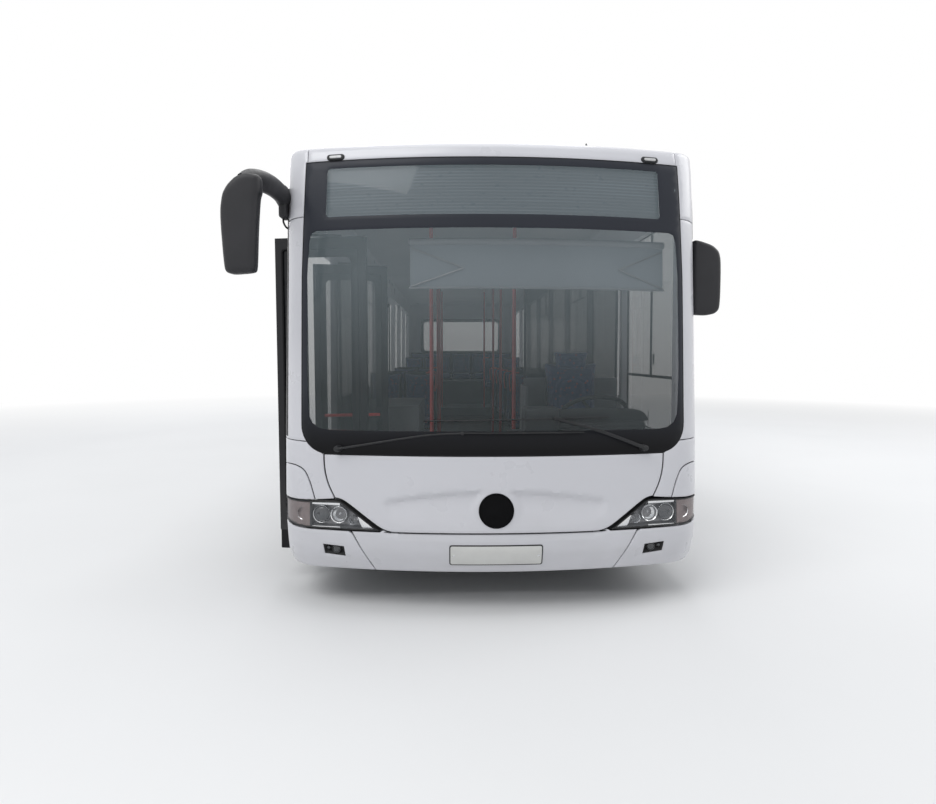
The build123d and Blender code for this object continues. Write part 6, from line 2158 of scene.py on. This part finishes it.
def stage_floor():
    """Pale floor that turns to plain white far from the bus."""
    mesh = bpy.data.meshes.new("stage_floor")
    mesh.from_pydata([(-90, -90, 0), (90, -90, 0), (90, 90, 0), (-90, 90, 0)], [], [(0, 1, 2, 3)])
    material, tree, shader = new_material("stage_pale")
    tint = mixed(tree, noise(tree, 0.6), (0.76, 0.76, 0.76), (0.80, 0.80, 0.80))
    tree.links.new(tint, shader.inputs["Base Color"])
    shader.inputs["Roughness"].default_value = 0.95
    shader.inputs["Specular IOR Level"].default_value = 0.1
    coord = tree.nodes.new("ShaderNodeTexCoord")
    length = tree.nodes.new("ShaderNodeVectorMath")
    length.operation = "LENGTH"
    tree.links.new(coord.outputs["Object"], length.inputs[0])
    far = remap(tree, length.outputs["Value"], 7.0, 17.0, 0.0, 1.0)
    glow = tree.nodes.new("ShaderNodeEmission")
    glow.inputs["Color"].default_value = (1, 1, 1, 1)
    mix = tree.nodes.new("ShaderNodeMixShader")
    tree.links.new(maths(tree, "MULTIPLY", far, seen_ray(tree)), mix.inputs["Fac"])
    tree.links.new(shader.outputs[0], mix.inputs[1])
    tree.links.new(glow.outputs[0], mix.inputs[2])
    tree.links.new(mix.outputs[0], tree.nodes["Material Output"].inputs["Surface"])
    mesh.materials.append(material)
    floor = bpy.data.objects.new("stage_floor", mesh)
    bpy.context.scene.collection.objects.link(floor)


def seen_ray(tree):
    """1 for rays from the camera and for what metal and glass show."""
    path = tree.nodes.new("ShaderNodeLightPath")
    seen = maths(tree, "MAXIMUM", path.outputs["Is Camera Ray"], path.outputs["Is Transmission Ray"])
    return maths(tree, "MAXIMUM", seen, path.outputs["Is Glossy Ray"])


def light(name, place, aim, size, power):
    lamp = bpy.data.lights.new(name, "AREA")
    lamp.shape = "RECTANGLE"
    lamp.size = size[0]
    lamp.size_y = size[1]
    lamp.energy = power
    holder = bpy.data.objects.new(name, lamp)
    holder.location = place
    holder.rotation_euler = (Vector(aim) - Vector(place)).to_track_quat("-Z", "Y").to_euler()
    bpy.context.scene.collection.objects.link(holder)


def world_light():
    world = bpy.data.worlds.new("soft_sky")
    bpy.context.scene.world = world
    world.use_nodes = True
    tree = world.node_tree
    tree.nodes.clear()
    dim = tree.nodes.new("ShaderNodeBackground")
    dim.inputs["Color"].default_value = (0.93, 0.96, 1.0, 1)
    dim.inputs["Strength"].default_value = 0.60
    white = tree.nodes.new("ShaderNodeBackground")
    white.inputs["Color"].default_value = (1, 1, 1, 1)
    mix = tree.nodes.new("ShaderNodeMixShader")
    out = tree.nodes.new("ShaderNodeOutputWorld")
    tree.links.new(seen_ray(tree), mix.inputs["Fac"])
    tree.links.new(dim.outputs[0], mix.inputs[1])
    tree.links.new(white.outputs[0], mix.inputs[2])
    tree.links.new(mix.outputs[0], out.inputs["Surface"])


def camera():
    turn = math.radians(1.6)
    tilt = math.radians(4.02)
    data = bpy.data.cameras.new("photo_camera")
    data.sensor_width = 36
    data.lens = 24.615
    data.clip_end = 300
    holder = bpy.data.objects.new("photo_camera", data)
    holder.location = (-0.26, FRONT - 3.55, 1.475)
    aim = Vector((math.sin(turn) * math.cos(tilt), math.cos(turn) * math.cos(tilt), -math.sin(tilt)))
    holder.rotation_euler = aim.to_track_quat("-Z", "Y").to_euler()
    bpy.context.scene.collection.objects.link(holder)
    bpy.context.scene.camera = holder


stage_floor()
world_light()
light("key_soft", (-7, -13, 13), (0, -4, 1.4), (10, 8), 900)
light("side_soft", (11, -2, 9), (0, 0, 1.5), (10, 8), 500)
light("back_soft", (-9, 12, 9), (0, 3, 1.5), (10, 8), 500)
light("top_soft", (0, 0, 10), (0, 0, 0), (6, 16), 500)
camera()
bpy.context.scene.view_settings.view_transform = "Standard"
